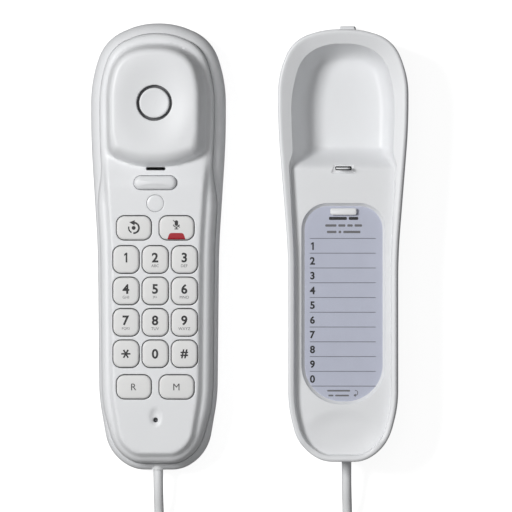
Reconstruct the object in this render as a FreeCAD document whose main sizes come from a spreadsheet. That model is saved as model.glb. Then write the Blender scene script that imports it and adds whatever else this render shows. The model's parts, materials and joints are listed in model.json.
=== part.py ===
"""Slimline corded wall phone, off the hook: handset on the left, cradle base on the right.

Millimetres. X is across the phone, +Y runs to the earpiece end, +Z up from the table.
Every driving size is a cell of the Sizes sheet.
"""
import FreeCAD, Part
import Sketcher
import math
import os

V = FreeCAD.Vector
DOC = FreeCAD.newDocument("SlimlinePhone")
SHEET = DOC.addObject("Spreadsheet::Sheet", "Sizes")

DRIVING = {
    # where the two halves lie
    "spacing": 91.0, "base_y": 0.45,
    # handset
    "hs_long": 215.0, "hs_half": 32.6, "hs_waist": 29.3, "hs_foot": 28.6,
    "hs_seam": 15.5, "hs_shoulder": 24.0, "hs_face": 27.0, "hs_back_round": 11.0,
    "hs_frame_inset": 6.4, "frame_wall": 1.0, "frame_foot_up": 3.0, "hs_shoulder_round": 4.0,
    "dome_wide": 43.0, "dome_long": 56.0, "dome_y": 68.2, "dome_top": 34.0,
    "dome_corner": 15.0, "dome_round": 4.5, "dish_deep": 1.4, "dish_inset": 7.0,
    "ear_y": 68.9, "ear_hole_radius": 8.65, "ear_disc_radius": 7.2,
    # keys
    "key_wide": 12.4, "key_deep": 12.9, "key_corner": 3.8, "key_pitch_across": 14.1,
    "key_pitch_along": 15.1, "key_first_row": -6.3, "key_top": 28.0, "key_foot": 22.4,
    "key_collar": 0.8, "key_collar_thick": 1.1, "key_gap": 0.4,
    "wide_key_wide": 16.6, "wide_key_deep": 11.3, "wide_key_off": 10.3,
    "upper_keys_y": 8.9, "lower_keys_y": -67.5,
    # hook plunger, lens, microphone
    "plunger_wide": 20.2, "plunger_deep": 6.3, "plunger_y": 30.6, "plunger_top": 29.6,
    "lens_y": 20.7, "lens_radius": 4.1,
    "mic_y": -83.4, "mic_hole_radius": 1.2, "mic_radius": 4.8,
    # base
    "bs_long": 207.3, "bs_half": 31.25, "bs_waist": 26.3, "bs_rim": 36.0,
    "bs_rim_round": 3.0, "foot_high": 1.0, "plate_thick": 2.0, "plate_inset": 2.4,
    "cradle_inset": 2.7, "cradle_floor": 31.6, "cradle_under": 27.6, "cradle_top_y": 40.4,
    "well_half": 25.3, "well_top_y": 98.0, "well_floor": 11.0,
    "window_wide": 39.4, "window_top_y": 19.8, "window_foot_y": -75.7,
    "window_seat": 29.4, "window_low": 29.8, "window_high": 30.9,
    "window_top_corner": 12.0, "window_foot_corner": 18.5,
    "hook_y": 37.0, "hook_half": 3.3, "hook_thick": 1.2, "hook_lip": 1.0, "hook_high": 37.2,
    "hook_seat": 24.4, "slot_half": 5.0, "slot_low_y": 36.4, "slot_high_y": 39.5,
    "keyhole_radius": 2.3, "keyhole_long": 14.0, "keyhole_entry": 4.6,
    "keyhole_high_y": 60.0, "keyhole_low_y": -40.0,
    # walls and fasteners
    "wall": 2.2, "screw_radius": 1.25, "screw_hole": 1.4, "screw_head": 2.6, "boss_radius": 3.2,
    # electrical pieces
    "board_thick": 1.6, "board_low": 17.1, "board_top": 18.7, "capsule_radius": 14.0,
    "gasket_radius": 11.0, "disc_skin": 1.6, "sounder_radius": 12.5, "foot_radius": 5.0,
    "grommet_radius": 3.1, "grommet_long": 4.5, "end_hole_radius": 3.2,
    # cord
    "cord_dia": 4.6, "coil_dia": 13.2, "cord_high": 12.0,
}


def fill_sheet():
    """Write every driving size to its own row, with its name beside it."""
    for row, (alias, value) in enumerate(DRIVING.items(), start=1):
        SHEET.set("A%d" % row, alias)
        SHEET.set("B%d" % row, str(value))
        SHEET.setAlias("B%d" % row, alias)
    DOC.recompute()


def size(alias):
    """A driving size as the sheet holds it."""
    return float(SHEET.get(alias))


fill_sheet()

HS_HALF_LONG = size("hs_long") / 2
BS_HALF_LONG = size("bs_long") / 2
OBJECT_WIDE = size("spacing") + size("hs_half") + size("bs_half")
HANDSET_X = -OBJECT_WIDE / 2 + size("hs_half")
BASE_X = OBJECT_WIDE / 2 - size("bs_half")
HANDSET_AT = ("(Sizes.hs_half - Sizes.bs_half - Sizes.spacing) / 2", "0")
BASE_AT = ("(Sizes.hs_half - Sizes.bs_half + Sizes.spacing) / 2", "Sizes.base_y")


# ---------------------------------------------------------------- outlines

def rounded(corners):
    """Lines and tangent arcs of a closed polygon whose corners are (x, y, radius)."""
    cuts = []
    for i, (x, y, radius) in enumerate(corners):
        here = V(x, y, 0)
        back = (V(*corners[i - 1][:2], 0) - here).normalize()
        ahead = (V(*corners[(i + 1) % len(corners)][:2], 0) - here).normalize()
        half = back.getAngle(ahead) / 2
        reach = radius / math.tan(half)
        start = here + back * reach
        end = here + ahead * reach
        to_middle = (back + ahead).normalize()
        middle = here + to_middle * (radius / math.sin(half) - radius)
        cuts.append((start, middle, end, radius))
    shapes = []
    for i, (start, middle, end, radius) in enumerate(cuts):
        before = cuts[i - 1][2]
        run = V(*corners[i][:2], 0) - V(*corners[i - 1][:2], 0)
        if (start - before).dot(run) < -1e-4:
            raise RuntimeError("the arcs at corners %d and %d overlap" % (i - 1, i))
        if (start - before).Length > 1e-4:
            shapes.append(Part.LineSegment(before, start))
        if radius > 0:
            shapes.append(Part.Arc(start, middle, end))
    return shapes


def both_sides(right):
    """A right-hand list of corners from top to bottom, closed by its mirror image."""
    left = [(-x, y, radius) for x, y, radius in reversed(right)]
    return rounded(right + left)


def handset_outline(inset=0.0, top_y=None, foot_up=0.0):
    """The handset seen from the front, drawn in by inset; cut at top_y, with its foot raised."""
    top = HS_HALF_LONG
    wide, waist, foot = size("hs_half"), size("hs_waist"), size("hs_foot")
    lower = [
        (waist - inset, top - 108, 400 - inset),
        (foot - inset, top - 180, 90 - inset),
        (24 - 0.8 * inset, 8.5 + foot_up + 0.6 * inset - top, 21 - inset),
        (12 - 0.3 * inset, foot_up + inset - top, 17 - inset),
    ]
    if top_y is not None:
        across = wide - 1.2 - inset
        return both_sides([(across, top_y, 6.0)] + lower)
    upper = [
        (8, top - inset, 36 - inset),
        (25.8 - 0.65 * inset, top - 7.6 - 0.75 * inset, 22 - inset),
        (wide - inset, top - 28, 65 - inset),
        (wide - inset, top - 56, 400 - inset),
    ]
    return both_sides(upper + lower)


def base_outline(inset=0.0, top_y=None):
    """The base seen from the front, drawn in by inset; cut at top_y if given."""
    top = BS_HALF_LONG
    wide, waist = size("bs_half"), size("bs_waist")
    lower = [
        (waist - inset, top - 108, 300 - inset),
        (waist - inset, top - 181, 60 - inset),
        (21.5 - 0.8 * inset, top - 199.5 + 0.6 * inset, 22 - inset),
        (10 - 0.3 * inset, inset - top, 16 - inset),
    ]
    if top_y is not None:
        across = wide - 1.4 - inset
        return both_sides([(across, top_y, 7.0)] + lower)
    upper = [
        (9, top - inset, 45 - inset),
        (24.3 - 0.65 * inset, top - 5.2 - 0.75 * inset, 18.5 - inset),
        (wide - inset, top - 22, 45 - inset),
        (wide - inset, top - 46, 300 - inset),
    ]
    return both_sides(upper + lower)


def well_outline(grow=0.0):
    """The deep earpiece well of the base, drawn out by grow."""
    half = size("well_half") + grow
    top = size("well_top_y") + grow
    foot = size("cradle_top_y") - 2.5 - grow
    return both_sides([(9, top, 22), (half - 5.5, top - 4.6, 12 + grow / 2), (half, top - 22, 40),
                       (half - 1.4, foot, 5.0)])


def slab(wide, deep, corner, x=0.0, y=0.0):
    """A rounded rectangle about (x, y)."""
    return rounded([(x - wide / 2, y + deep / 2, corner), (x + wide / 2, y + deep / 2, corner),
                    (x + wide / 2, y - deep / 2, corner), (x - wide / 2, y - deep / 2, corner)])


def circle(radius, x=0.0, y=0.0):
    """A full circle about (x, y)."""
    return [Part.Circle(V(x, y, 0), V(0, 0, 1), radius)]


def window_outline(gap, foot_gap):
    """The memory window's shape, smaller than its seat by gap, and by foot_gap at the foot."""
    half = size("window_wide") / 2 - gap
    top_corner = size("window_top_corner")
    foot_corner = size("window_foot_corner")
    return both_sides([(half, size("window_top_y") - gap, top_corner),
                       (half, size("window_foot_y") + foot_gap, foot_corner)])


def key_places():
    """Every key as (node, x, y, wide, deep)."""
    wide, deep = size("key_wide"), size("key_deep")
    broad, short = size("wide_key_wide"), size("wide_key_deep")
    off = size("wide_key_off")
    places = [("key_redial", -off, size("upper_keys_y"), broad, short),
              ("key_mute", off, size("upper_keys_y"), broad, short)]
    rows = [("1", "2", "3"), ("4", "5", "6"), ("7", "8", "9"), ("star", "0", "hash")]
    for row, names in enumerate(rows):
        for column, name in enumerate(names):
            x = (column - 1) * size("key_pitch_across")
            y = size("key_first_row") - row * size("key_pitch_along")
            places.append(("key_" + name, x, y, wide, deep))
    places.append(("key_recall", -off, size("lower_keys_y"), broad, short))
    places.append(("key_memory", off, size("lower_keys_y"), broad, short))
    return places


# ---------------------------------------------------------------- feature helpers

def new_body(label, at):
    """A PartDesign body whose place follows the sheet."""
    body = DOC.addObject("PartDesign::Body", label)
    body.Label = label
    body.setExpression("Placement.Base.x", at[0])
    body.setExpression("Placement.Base.y", at[1])
    return body


def origin_plane(body, role):
    """One of the body's own origin planes."""
    return next(f for f in body.Origin.OriginFeatures if f.Role == role)


def sketch_on(body, role, shapes, height="0"):
    """A sketch on an origin plane, raised along its normal by the expression height."""
    sketch = body.newObject("Sketcher::SketchObject", body.Label + "_sketch")
    sketch.AttachmentSupport = [(origin_plane(body, role), "")]
    sketch.MapMode = "FlatFace"
    sketch.setExpression("AttachmentOffset.Base.z", height)
    sketch.addGeometry(shapes, False)
    for index in range(len(shapes)):
        sketch.addConstraint(Sketcher.Constraint("Block", index))
    return sketch


def feature(body, kind, sketch, length, flip=False):
    """A Pad or Pocket of the given length expression; flip turns it to the other side."""
    made = body.newObject("PartDesign::" + kind, body.Label + "_" + kind.lower())
    made.Profile = sketch
    made.setExpression("Length", length)
    made.Reversed = flip
    sketch.Visibility = False
    DOC.recompute()
    return made


def pad(body, shapes, low, high, role="XY_Plane"):
    """Add a prism between two height expressions."""
    before = body.Shape.Volume if body.Tip else 0.0
    sketch = sketch_on(body, role, shapes, low)
    made = feature(body, "Pad", sketch, "(%s) - (%s)" % (high, low))
    if made.Shape.Volume <= before:
        raise RuntimeError("%s adds nothing to %s" % (made.Label, body.Label))
    return made


def pocket(body, shapes, low, high, role="XY_Plane"):
    """Cut a prism between two height expressions."""
    before = body.Shape.Volume
    sketch = sketch_on(body, role, shapes, low)
    made = feature(body, "Pocket", sketch, "(%s) - (%s)" % (high, low), flip=True)
    if made.Shape.Volume >= before - 1e-3:
        raise RuntimeError("%s cuts nothing from %s" % (made.Label, body.Label))
    return made


def soften(body, radius, picks):
    """Fillet the edges of the tip that picks chooses."""
    base = body.Tip
    names = ["Edge%d" % (i + 1) for i, edge in enumerate(base.Shape.Edges) if picks(edge)]
    made = body.newObject("PartDesign::Fillet", body.Label + "_round")
    made.Base = (base, names)
    made.setExpression("Radius", radius)
    DOC.recompute()
    return made


def level(height):
    """Picks the edges that lie at one height."""
    return lambda e: abs(e.BoundBox.ZMin - height) < 1e-4 and abs(e.BoundBox.ZMax - height) < 1e-4


def boxes(label, at, items):
    """Plain blocks fused into one sub-part: each item is (x, y, z, wide, deep, high)."""
    body = new_body(label, at)
    for x, y, z, wide, deep, high in items:
        pad(body, slab(wide, deep, min(wide, deep) * 0.08, x, y), str(z), str(z + high))
    return body


def turned(label, at, x, y, steps):
    """A turned piece: each step is (radius, low, high)."""
    body = new_body(label, at)
    for radius, low, high in steps:
        pad(body, circle(radius, x, y), str(low), str(high))
    return body


def group(label, at, places, steps):
    """Identical turned pieces that share one node, as separate solids in one compound."""
    solids = []
    for x, y in places:
        solid = None
        for radius, low, high in steps:
            step = Part.makeCylinder(radius, high - low, V(x, y, low))
            solid = step if solid is None else solid.fuse(step)
        solids.append(solid.removeSplitter())
    made = DOC.addObject("Part::Feature", label)
    made.Label = label
    made.Shape = Part.makeCompound(solids)
    made.setExpression("Placement.Base.x", at[0])
    made.setExpression("Placement.Base.y", at[1])
    return made


# ---------------------------------------------------------------- handset

HS_SCREWS = [(0.0, 42.5), (0.0, -92.5)]


def handset_front_shell():
    """The face: shoulder, raised keypad frame, earpiece dome, and every opening in them."""
    body = new_body("handset_front_shell", HANDSET_AT)
    pad(body, handset_outline(), "Sizes.hs_seam", "Sizes.hs_shoulder")
    soften(body, "Sizes.hs_shoulder_round", level(size("hs_shoulder")))
    foot_up = size("frame_foot_up")
    frame = handset_outline(size("hs_frame_inset"), 39.8, foot_up)
    pad(body, frame, "Sizes.hs_shoulder - 2", "Sizes.hs_face")
    dome = slab(size("dome_wide"), size("dome_long"), size("dome_corner"), 0, size("dome_y"))
    pad(body, dome, "Sizes.hs_shoulder - 2", "Sizes.dome_top")
    soften(body, "Sizes.dome_round", level(size("dome_top")))
    inset = size("dish_inset")
    dish = slab(size("dome_wide") - 2 * inset, size("dome_long") - 2 * inset,
                size("dome_corner") - inset / 2, 0, size("dome_y"))
    pocket(body, dish, "Sizes.dome_top - Sizes.dish_deep", "Sizes.dome_top + 1")
    pocket(body, handset_outline(size("wall")), "Sizes.hs_seam", "Sizes.hs_shoulder - Sizes.wall")
    under = handset_outline(size("hs_frame_inset") + size("frame_wall"), 35.0, foot_up)
    pocket(body, under, "Sizes.hs_seam", "Sizes.hs_face - Sizes.wall - 1")
    hollow = slab(size("dome_wide") - 5, size("dome_long") - 5, size("dome_corner") - 2.5,
                  0, size("dome_y"))
    pocket(body, hollow, "Sizes.hs_seam", "Sizes.dome_top - Sizes.dish_deep - Sizes.disc_skin")
    boss_radius = size("boss_radius")
    for x, y in HS_SCREWS:
        pad(body, circle(boss_radius, x, y), "Sizes.hs_seam", "Sizes.hs_face - 2")
        pocket(body, circle(size("screw_hole"), x, y), "Sizes.hs_seam", "Sizes.hs_face - 6")
    gap = size("key_gap")
    holes = []
    for _, x, y, wide, deep in key_places():
        holes += slab(wide + 2 * gap, deep + 2 * gap, size("key_corner") + gap, x, y)
    deep = size("plunger_deep") + 2 * gap
    holes += slab(size("plunger_wide") + 2 * gap, deep, deep / 2 - 0.01, 0, size("plunger_y"))
    holes += circle(size("lens_radius"), 0, size("lens_y"))
    holes += circle(size("mic_hole_radius"), 0, size("mic_y"))
    pocket(body, holes, "Sizes.hs_seam", "Sizes.hs_face + 1")
    pocket(body, circle(size("ear_hole_radius"), 0, size("ear_y")),
           "Sizes.hs_shoulder", "Sizes.dome_top + 1")
    slot_deep = size("slot_high_y") - size("slot_low_y")
    slot_y = (size("slot_high_y") + size("slot_low_y")) / 2 - 0.3
    pocket(body, slab(2 * size("slot_half"), slot_deep, 0.6, 0, slot_y),
           "Sizes.hs_shoulder - 2", "Sizes.hs_face + 1")
    return body


def handset_rear_shell():
    """The rounded back half of the handset, with the cord's way out at its foot."""
    body = new_body("handset_rear_shell", HANDSET_AT)
    pad(body, handset_outline(), "0", "Sizes.hs_seam")
    soften(body, "Sizes.hs_back_round", level(0.0))
    pocket(body, handset_outline(size("wall") + 6.4), "Sizes.wall", "Sizes.hs_seam")
    pocket(body, handset_outline(size("wall")), "Sizes.hs_back_round", "Sizes.hs_seam")
    for x, y in HS_SCREWS:
        pad(body, circle(size("boss_radius"), x, y), "1.5", "Sizes.hs_seam")
        pocket(body, circle(size("screw_hole"), x, y), "0", "Sizes.hs_seam")
        pocket(body, circle(size("screw_head") + 0.4, x, y), "0", "2.8")
    end_hole = circle(size("end_hole_radius"), 0, size("cord_high"))
    pocket(body, end_hole, "Sizes.hs_long / 2 - 9", "Sizes.hs_long / 2 + 1", role="XZ_Plane")
    return body


def grommet(label, at, end_y):
    """The moulded sleeve that holds the cord in the end wall."""
    body = new_body(label, at)
    high = size("cord_high")
    start = end_y - size("grommet_long")
    pad(body, circle(size("grommet_radius"), 0, high), str(start), str(end_y), role="XZ_Plane")
    return body


def keys():
    """Sixteen separate keys, each a rounded cap with a collar that keeps it behind the face."""
    made = []
    for name, x, y, wide, deep in key_places():
        body = new_body(name, (HANDSET_AT[0] + " + (%s)" % x, str(y)))
        pad(body, slab(wide, deep, size("key_corner")), "Sizes.key_foot", "Sizes.key_top")
        soften(body, "0.7", level(size("key_top")))
        collar = 2 * size("key_collar") - 0.4
        pad(body, slab(wide + collar, deep + collar, size("key_corner")),
            "Sizes.key_foot", "Sizes.key_foot + Sizes.key_collar_thick")
        made.append(body)
    return made


def handset_pieces():
    """Everything inside the handset, and the small pieces that show in its face."""
    made = [handset_front_shell(), handset_rear_shell()]
    ear_y = size("ear_y")
    skin = size("dome_top") - size("dish_deep") - size("disc_skin")
    disc = turned("earpiece_disc", HANDSET_AT, 0, ear_y,
                  [(size("gasket_radius"), skin - 1.0, skin),
                   (size("ear_disc_radius"), skin - 0.5, skin + 1.5)])
    made.append(disc)
    made.append(turned("receiver_gasket", HANDSET_AT, 0, ear_y,
                       [(size("gasket_radius"), skin - 2.4, skin - 1.0)]))
    made.append(turned("receiver_capsule", HANDSET_AT, 0, ear_y,
                       [(size("capsule_radius"), skin - 6.4, skin - 2.4), (9.0, skin - 10.4, skin - 6.4)]))
    plunger = new_body("hook_plunger", HANDSET_AT)
    deep = size("plunger_deep")
    pad(plunger, slab(size("plunger_wide"), deep, deep / 2 - 0.01, 0, size("plunger_y")),
        "Sizes.key_foot", "Sizes.plunger_top")
    soften(plunger, "1.1", level(size("plunger_top")))
    pad(plunger, slab(size("plunger_wide") + 1.6, 7.6, 3.0, 0, size("plunger_y")),
        "Sizes.key_foot", "Sizes.key_foot + Sizes.key_collar_thick")
    made.append(plunger)
    made.append(boxes("hook_switch", HANDSET_AT, [(0, size("plunger_y"), size("board_top"), 12.8, 5.6, 1.4)]))
    made.append(turned("indicator_lens", HANDSET_AT, 0, size("lens_y"),
                       [(size("lens_radius") - 0.05, 23.0, 27.1)]))
    made.append(turned("indicator_led", HANDSET_AT, 0, size("lens_y"), [(1.5, size("board_top"), 22.8)]))
    board = (0, -22.0, size("board_low"), 42.0, 112.0, size("board_thick"))
    made.append(boxes("handset_circuit_board", HANDSET_AT, [board]))
    made.append(boxes("keypad_mat", HANDSET_AT, [(0, -29.3, size("board_top"), 42.0, 92.0, 2.2)]))
    made.append(turned("microphone_boot", HANDSET_AT, 0, size("mic_y"),
                       [(size("mic_radius"), 22.2, 23.8)]))
    made.append(turned("microphone", HANDSET_AT, 0, size("mic_y"),
                       [(size("mic_radius"), size("board_top"), 22.2)]))
    made.append(boxes("handset_ballast", HANDSET_AT, [(0, -28.0, 2.2, 30.0, 80.0, 5.0)]))
    head_top = 2.7
    made.append(group("handset_screws", HANDSET_AT, HS_SCREWS,
                      [(size("screw_head"), 1.2, head_top), (size("screw_radius"), 1.2, 20.5)]))
    made.append(grommet("handset_cord_grommet", HANDSET_AT, HS_HALF_LONG))
    return made + keys()


# ---------------------------------------------------------------- base

BASE_SCREWS = [(-19.0, 66.0), (19.0, 66.0), (-13.0, -93.0), (13.0, -93.0)]
BASE_FEET = [(-15.0, 84.0), (15.0, 84.0), (-14.0, -76.0), (14.0, -76.0)]
RINGER_Y = 16.0
RINGER_HOLES = [(0.0, 0.0)] + [
    (5.0 * math.cos(math.radians(60 * n)), 5.0 * math.sin(math.radians(60 * n))) for n in range(6)]
SWITCH_Y = -30.0
SWITCH_HIGH = 13.0
JACK_Y = -17.0


def base_shell():
    """The cradle: outer wall and rim, deep earpiece well, shallow tray and window seat."""
    body = new_body("base_shell", BASE_AT)
    pad(body, base_outline(), "Sizes.foot_high", "Sizes.bs_rim")
    soften(body, "Sizes.bs_rim_round", level(size("bs_rim")))
    pad(body, slab(8.7, 4.0, 1.0, 0, BS_HALF_LONG - 0.05), "Sizes.foot_high", "8")
    pocket(body, base_outline(size("plate_inset") - 0.1), "Sizes.foot_high",
           "Sizes.foot_high + Sizes.plate_thick")
    plate_top = "Sizes.foot_high + Sizes.plate_thick"
    wall = size("wall")
    pocket(body, base_outline(wall + 0.4), plate_top, "Sizes.bs_rim - Sizes.wall - 1.1")
    pad(body, well_outline(wall), "Sizes.well_floor - Sizes.wall", "Sizes.bs_rim - 2")
    tray = base_outline(wall / 2, top_y=size("cradle_top_y") + 2)
    pad(body, tray, "Sizes.cradle_under", "Sizes.bs_rim - 3.2")
    pocket(body, well_outline(), "Sizes.well_floor", "Sizes.bs_rim + 1")
    pocket(body, base_outline(size("cradle_inset"), top_y=size("cradle_top_y")),
           "Sizes.cradle_floor", "Sizes.bs_rim + 1")
    pocket(body, window_outline(0, 0), "Sizes.window_seat", "Sizes.cradle_floor + 1")
    hook_y = size("hook_y")
    pad(body, slab(2 * size("hook_half") + 5, size("hook_thick") + 4.4, 0.5, 0, hook_y - 1.2),
        "Sizes.hook_seat - 2", "Sizes.cradle_floor")
    pocket(body, slab(2 * size("hook_half") + 0.7, size("hook_thick") + 0.7, 0.3, 0, hook_y - 0.6),
           "Sizes.hook_seat", "Sizes.cradle_floor + 1")
    for x, y in BASE_SCREWS:
        top = "Sizes.well_floor - 1" if y > 0 else "Sizes.cradle_under + 1"
        pad(body, circle(size("boss_radius"), x, y), plate_top, top)
        pocket(body, circle(size("screw_hole"), x, y), plate_top, "Sizes.well_floor - 2.4")
    end_hole = circle(size("end_hole_radius"), 0, size("cord_high"))
    pocket(body, end_hole, "Sizes.bs_long / 2 - 9", "Sizes.bs_long / 2 + 1", role="XZ_Plane")
    side_hole = slab(9.0, 3.4, 0.6, SWITCH_Y + 2, SWITCH_HIGH)
    pocket(body, side_hole, "-Sizes.bs_waist - 1", "-Sizes.bs_waist + 4", role="YZ_Plane")
    return body


def base_back_plate():
    """The flat back with two keyholes for wall screws, sound holes and the line socket's cut-out."""
    body = new_body("base_back_plate", BASE_AT)
    low, high = "Sizes.foot_high", "Sizes.foot_high + Sizes.plate_thick"
    pad(body, base_outline(size("plate_inset") + 0.1), low, high)
    radius = size("keyhole_radius")
    for y in (size("keyhole_high_y"), size("keyhole_low_y")):
        pocket(body, slab(2 * radius, size("keyhole_long"), radius - 1e-4, 0, y), low, high)
        pocket(body, circle(size("keyhole_entry"), 0, y), low, high)
    pocket(body, slab(13.2, 15.2, 0.6, 0, JACK_Y), low, high)
    for x, y in RINGER_HOLES:
        pocket(body, circle(0.9, x, y + RINGER_Y), low, high)
    for x, y in BASE_SCREWS:
        pocket(body, circle(size("screw_hole"), x, y), low, high)
        pocket(body, circle(size("screw_head") + 0.3, x, y), low, "Sizes.foot_high + 1.2")
    return body


def line_jack():
    """The modular line socket, its mouth flush with the back."""
    body = new_body("line_jack", BASE_AT)
    pad(body, slab(12.8, 14.8, 0.5, 0, JACK_Y), "Sizes.foot_high", "13")
    pocket(body, slab(9.8, 6.8, 0.3, 0, JACK_Y - 0.8), "Sizes.foot_high", "11.2")
    pocket(body, slab(4.2, 2.4, 0.2, 0, JACK_Y + 3.4), "Sizes.foot_high", "9")
    return body


def memory_window():
    """The clear cover over the memory card, with a nail tab at its top edge."""
    body = new_body("memory_window", BASE_AT)
    pad(body, window_outline(0.35, 0.6), "Sizes.window_low", "Sizes.window_high")
    pad(body, slab(13.0, 3.4, 0.6, 0, size("window_top_y") - 2.6), "Sizes.window_low", "31.5")
    return body


def retaining_hook():
    """The tongue that the handset hangs from: a plain shank with a lip at its tip."""
    body = new_body("retaining_hook", BASE_AT)
    thick, y = size("hook_thick"), size("hook_y") - 0.6
    pad(body, slab(2 * size("hook_half"), thick, 0.2, 0, y), "Sizes.hook_seat", "Sizes.hook_high")
    lip = thick + size("hook_lip")
    pad(body, slab(2 * size("hook_half"), lip, 0.2, 0, y + size("hook_lip") / 2),
        "Sizes.hook_high - 1.4", "Sizes.hook_high")
    return body


def ringer_knob():
    """The thumb slide of the ringer switch, standing 1 mm proud of the left wall."""
    body = new_body("ringer_knob", BASE_AT)
    pad(body, slab(4.0, 2.6, 0.4, SWITCH_Y, SWITCH_HIGH), "-Sizes.bs_waist - 1",
        "-Sizes.bs_waist + 4.6", role="YZ_Plane")
    return body


def base_pieces():
    """The base's shells and everything in them."""
    made = [base_shell(), base_back_plate(), memory_window(), retaining_hook(), line_jack(),
            ringer_knob()]
    card = new_body("memory_card", BASE_AT)
    pad(card, window_outline(0.6, 0.9), "Sizes.window_seat", "Sizes.window_seat + 0.3")
    made.append(card)
    made.append(boxes("base_ballast", BASE_AT, [(0, -71.0, 3.2, 36.0, 34.0, 6.0)]))
    made.append(boxes("base_circuit_board", BASE_AT, [(0, -22.0, 13.0, 34.0, 50.0, size("board_thick"))]))
    made.append(turned("ringer_sounder", BASE_AT, 0, RINGER_Y, [(size("sounder_radius"), 3.0, 7.5)]))
    made.append(boxes("ringer_switch", BASE_AT, [(-19.2, SWITCH_Y + 2, 10.2, 4.6, 12.0, 2.8)]))
    made.append(group("base_screws", BASE_AT, BASE_SCREWS,
                      [(size("screw_head"), 1.2, 2.2), (size("screw_radius"), 1.2, 8.4)]))
    made.append(group("rubber_feet", BASE_AT, BASE_FEET, [(size("foot_radius"), 0.0, size("foot_high"))]))
    made.append(grommet("base_cord_grommet", BASE_AT, BS_HALF_LONG))
    return made


# ---------------------------------------------------------------- cord

TAIL_END_Y = -141.0
COIL_HIGH = size("coil_dia") / 2
HIGH = size("cord_high")
BASE_END_Y = size("base_y") - BS_HALF_LONG
HANDSET_TAIL = [(HANDSET_X, -HS_HALF_LONG, HIGH), (HANDSET_X, -117.5, HIGH),
                (HANDSET_X, -130.0, COIL_HIGH), (HANDSET_X, TAIL_END_Y, COIL_HIGH)]
BASE_TAIL = [(BASE_X, BASE_END_Y, HIGH), (BASE_X, -115.0, HIGH),
             (BASE_X, -128.5, COIL_HIGH), (BASE_X, TAIL_END_Y, COIL_HIGH)]
COIL = [(HANDSET_X, TAIL_END_Y), (HANDSET_X, -159.0), (HANDSET_X - 2.8, -183.0),
        (HANDSET_X - 1.2, -209.0), (-28.8, -234.5), (0.9, -244.5), (30.4, -234.9),
        (BASE_X + 1.4, -211.0), (BASE_X + 2.6, -184.0), (BASE_X, -160.0), (BASE_X, TAIL_END_Y)]


def tube_path(points, name, dia):
    """Straight runs joined by tangent arcs, each arc as large as its two runs allow."""
    points = [V(*p) for p in points]
    edges = []
    last = points[0]
    for before, here, after in zip(points, points[1:], points[2:]):
        back, ahead = before - here, after - here
        shorter = min(back.Length, ahead.Length)
        half_turn = (math.pi - back.getAngle(ahead)) / 2
        reach = 0.45 * shorter
        radius = reach / math.tan(half_turn)
        back.normalize()
        ahead.normalize()
        start, end = here + back * reach, here + ahead * reach
        to_middle = (back + ahead).normalize()
        middle = here + to_middle * (radius / math.cos(half_turn) - radius)
        edges.append(Part.LineSegment(last, start).toShape())
        edges.append(Part.Arc(start, middle, end).toShape())
        print("%s radius %.1f mm, %.1f diameters" % (name, radius, radius / dia))
        last = end
    edges.append(Part.LineSegment(last, points[-1]).toShape())
    return Part.Wire(edges)


def tube(label, points, dia):
    """A round tube along a path, with its volume tested against section times length."""
    path = tube_path(points, label, dia)
    first = V(*points[1]) - V(*points[0])
    ring = Part.Wire(Part.makeCircle(dia / 2, V(*points[0]), first))
    solid = path.makePipeShell([ring], True, False)
    wanted = math.pi * dia ** 2 / 4 * path.Length
    if abs(solid.Volume / wanted - 1) > 0.01:
        raise RuntimeError("%s has volume %.1f, not %.1f" % (label, solid.Volume, wanted))
    made = DOC.addObject("Part::Feature", label)
    made.Label = label
    made.Shape = solid
    return made


def cord_pieces():
    """The two straight tails and the outer shape of the curly stretch between them."""
    coil = [(x, y, COIL_HIGH) for x, y in COIL]
    return [tube("cord_tail_handset", HANDSET_TAIL, size("cord_dia")),
            tube("cord_tail_base", BASE_TAIL, size("cord_dia")),
            tube("cord_coil", coil, size("coil_dia"))]


# ---------------------------------------------------------------- build and write

def check_and_write(pieces):
    """Stop on any failed feature or bad shape, then write one STEP file per sub-part."""
    DOC.recompute()
    for thing in DOC.Objects:
        if "Invalid" in thing.State or "Error" in thing.State:
            raise RuntimeError("%s is %s" % (thing.Label, thing.State))
    for piece in pieces:
        if piece.Shape.isNull() or not piece.Shape.isValid() or piece.Shape.Volume <= 0:
            raise RuntimeError("%s has no good shape" % piece.Label)
    os.makedirs("parts", exist_ok=True)
    for piece in pieces:
        piece.Shape.exportStep("parts/%s.step" % piece.Label)
        print("%-24s %d solid(s) %10.1f mm3" % (piece.Label, len(piece.Shape.Solids),
                                               piece.Shape.Volume))


check_and_write(handset_pieces() + base_pieces() + cord_pieces())
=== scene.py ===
"""Slimline corded wall phone, laid open: handset on the left, cradle base on the right.

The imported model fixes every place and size. This file adds the moulded skins, the keys' caps,
the printing, the curly cord, the finishes and a plain studio around it.
Shapes are worked out in millimetres and turned into metres in one place, add_piece().
"""
import json
import math

import bmesh
import bpy
import numpy as np
from bpy.props import FloatProperty, FloatVectorProperty, PointerProperty
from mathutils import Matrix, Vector
from mathutils.geometry import delaunay_2d_cdt


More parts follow.
